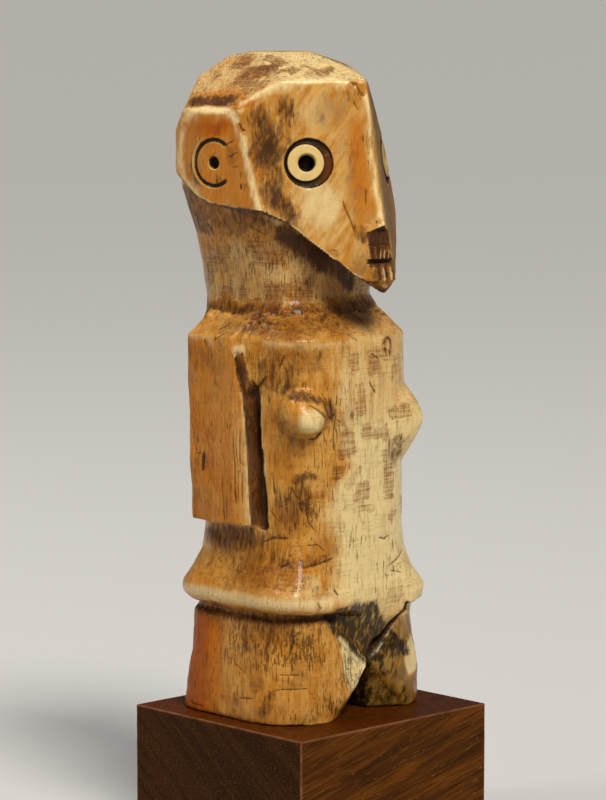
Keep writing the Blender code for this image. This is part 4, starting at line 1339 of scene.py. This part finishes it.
def hardwood():
    made = Finish("dark_hardwood_grain")
    along = made.turned((0, 1, 0), GRAIN_RISE)
    rings = made.noise(1.7, (18, 1.4, 1.4), 5, 0.65, 2, along)
    streak = made.noise(0.5, (26, 1, 1), 3, 0.6, 8, along)
    pore = made.noise(0.2, (14, 1, 1), 1, shift=15, place=along)
    end_grain = abs(made.facing(0)).step(0.6, 0.8)
    made.ground = made.mix(rings.step(0.2, 0.85), WOOD_DARK, WOOD_BROWN)
    made.cover(made.facing(2).step(0.6, 0.8) * 0.75, WOOD_RED)
    made.cover(streak.step(0.4, 0.66, 0, 0.7), WOOD_DARK)
    pores = pore.step(0.66, 0.74) * (1 - end_grain)
    made.cover(pores * 0.4, WOOD_PORE)
    # Growth rings across the ends, and their open pores
    sweep = made.slanting((1, 0, 0), END_RING_LEAN, 1.4, 16, 31)
    speck = made.slanting((1, 0, 0), END_RING_LEAN, 0.24, 2, 37)
    ends = made.mix(sweep.step(0.38, 0.62, 0.1, 0.75), WOOD_DARK, WOOD_END)
    made.cover(end_grain, made.mix(speck.step(0.62, 0.74, 0, 0.4), ends, WOOD_PORE))
    # Pale arrises: worn edges with a painted highlight along them
    made.cover(made.kept("arris")[0] * rings.step(0.3, 0.6, 0.3, 0.8), WOOD_EDGE)
    settings = {"Specular IOR Level": 0.06, "Specular Tint": (1, 0.7, 0.4, 1)}
    rough = streak.step(0.3, 0.7, 0.36, 0.5)
    return made.complete(rough, settings, streak - pores * 0.6, strength=0.4, distance=0.12)


def plain_material(name, colour, roughness):
    made = Finish(name)
    made.plug(made.shader, {"Base Color": colour, "Roughness": roughness})
    return made.material


# Pieces ----------------------------------------


def dress(mesh, material):
    """Give a mesh its finish, with no facets showing."""
    mesh.polygons.foreach_set("use_smooth", np.ones(len(mesh.polygons), bool))
    mesh.materials.append(material)


def make_figure():
    figure = copy_of_node("ivory_figure", "ivory_figure_carved")
    divide_evenly(figure, FIRST_STEP)
    skin = Skin(figure.data)
    skin.smooth(2)
    fill_groin(skin)
    shape_breasts(skin)
    skin.write()
    divide_evenly(figure, EVEN_STEP)
    skin = Skin(figure.data)
    carve(skin)
    divide_finer(figure, fine_places(skin))
    divide_finer(figure, muzzle_places(Skin(figure.data)))
    cut_features(Skin(figure.data))
    thin_out(figure, MOST_TRIANGLES)
    patina(Skin(figure.data))
    dress(figure.data, ivory())
    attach(figure, "root")
    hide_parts("ivory_figure")


# Distances of the block's rows of points from its edges, then their even step; and how its arrises wear
EDGE_ROWS = (0, 0.08, 0.17, 0.27, 0.4, 0.6)
BLOCK_STEP = 1.4
BLOCK_GAP = 0.01
ARRIS_RADIUS = 0.22
ARRIS_WEAR = 0.1


def make_block():
    """The block: planed faces, with arrises eased and a little worn."""
    rows = round((BLOCK_HIGH - BLOCK_LOW).min() / BLOCK_STEP) + 2 * len(EDGE_ROWS) - 1
    form = bmesh.new()
    bmesh.ops.create_cube(form, size=2.0)
    bmesh.ops.subdivide_edges(form, edges=form.edges[:], cuts=rows - 1, use_grid_fill=True)
    block = object_of_form("hardwood_block", form)
    low, high = BLOCK_LOW + BLOCK_GAP, BLOCK_HIGH - BLOCK_GAP
    row = (read_points(block.data) + 1) * rows / 2
    points = np.empty_like(row)
    for axis in range(3):
        even = np.linspace(low[axis] + BLOCK_STEP, high[axis] - BLOCK_STEP, rows + 1 - 2 * len(EDGE_ROWS))
        places = (*(low[axis] + np.array(EDGE_ROWS)), *even, *(high[axis] - np.array(EDGE_ROWS[::-1])))
        points[:, axis] = np.interp(row[:, axis], np.arange(rows + 1), places)
    inset = np.minimum(points - low, high - points)
    radius = (ARRIS_RADIUS + ARRIS_WEAR * noise_at(points, 3, 21, 3))[:, None]
    inner = np.clip(points, low + radius, high - radius)
    outward = points - inner
    length = np.linalg.norm(outward, axis=1)[:, None]
    points = inner + outward * np.minimum(1, radius / np.maximum(length, 1e-6))
    write_points(block.data, points * MM)
    keep_values(block.data, "arris", ramp(0.5, 0.15, np.sort(inset, axis=1)[:, 1]))
    dress(block.data, hardwood())
    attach(block, "root")
    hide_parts("wooden_base")


# Stage ----------------------------------------

FLOOR_HALF_SIZE = 800

# Lights: (kind, name, azimuth, elevation, power, size), where a sun's size is its angle in degrees, and a
# disc's is its width in metres
LIGHTS = (
    ("SUN", "key", -20, 48, 2.6, 18),
    ("AREA", "top", -150, 70, 3, 0.5),
    ("AREA", "side", -112, 50, 1.3, 0.14),
    ("AREA", "glint", -8, 54, 0.8, 0.07),
)
LIGHT_DISTANCE = 1
LIGHT_CENTRE = Vector((0, 0, 0.1))
SUN_COLOUR = (1, 0.97, 0.92)


def turn(made, axis, target):
    """Turn a light or camera so that one of its own axes points along target."""
    made.rotation_mode = "QUATERNION"
    made.rotation_quaternion = target.to_track_quat(axis, "Y")


def add_light(kind, name, azimuth, elevation, power, size):
    data = bpy.data.lights.new(name, kind)
    data.energy = power
    if kind == "SUN":
        data.angle = math.radians(size)
        data.color = SUN_COLOUR
    else:
        data.shape = "DISK"
        data.size = size
    outward = Vector(direction(azimuth, elevation))
    light = linked_object(name, data)
    light.location = LIGHT_CENTRE + outward * LIGHT_DISTANCE
    turn(light, "Z", outward)


def make_stage():
    form = bmesh.new()
    bmesh.ops.create_grid(form, x_segments=1, y_segments=1, size=FLOOR_HALF_SIZE)
    floor = object_of_form("floor", form)
    floor.data.materials.append(plain_material("pale_floor", linear(204, 202, 198), 0.9))
    world = bpy.data.worlds.new("studio")
    world.use_nodes = True
    backdrop = world.node_tree.nodes["Background"]
    backdrop.inputs["Color"].default_value = linear(225, 225, 225)
    backdrop.inputs["Strength"].default_value = 0.2
    bpy.context.scene.world = world
    for light in LIGHTS:
        add_light(*light)


CAMERA_AT = (-0.4899, -0.5084, 0.1816)
CAMERA_AZIMUTH, CAMERA_ELEVATION = -43.8, 6.9


def make_camera():
    data = bpy.data.cameras.new("camera")
    data.sensor_fit = "VERTICAL"
    data.sensor_height = 36
    data.lens = 149.625
    data.clip_start, data.clip_end = 0.05, 2 * FLOOR_HALF_SIZE
    camera = linked_object("camera", data)
    camera.location = CAMERA_AT
    turn(camera, "-Z", -Vector(direction(CAMERA_AZIMUTH, CAMERA_ELEVATION)))
    bpy.context.scene.camera = camera


make_figure()
make_block()
make_stage()
make_camera()
bpy.context.scene.view_settings.view_transform = "Standard"
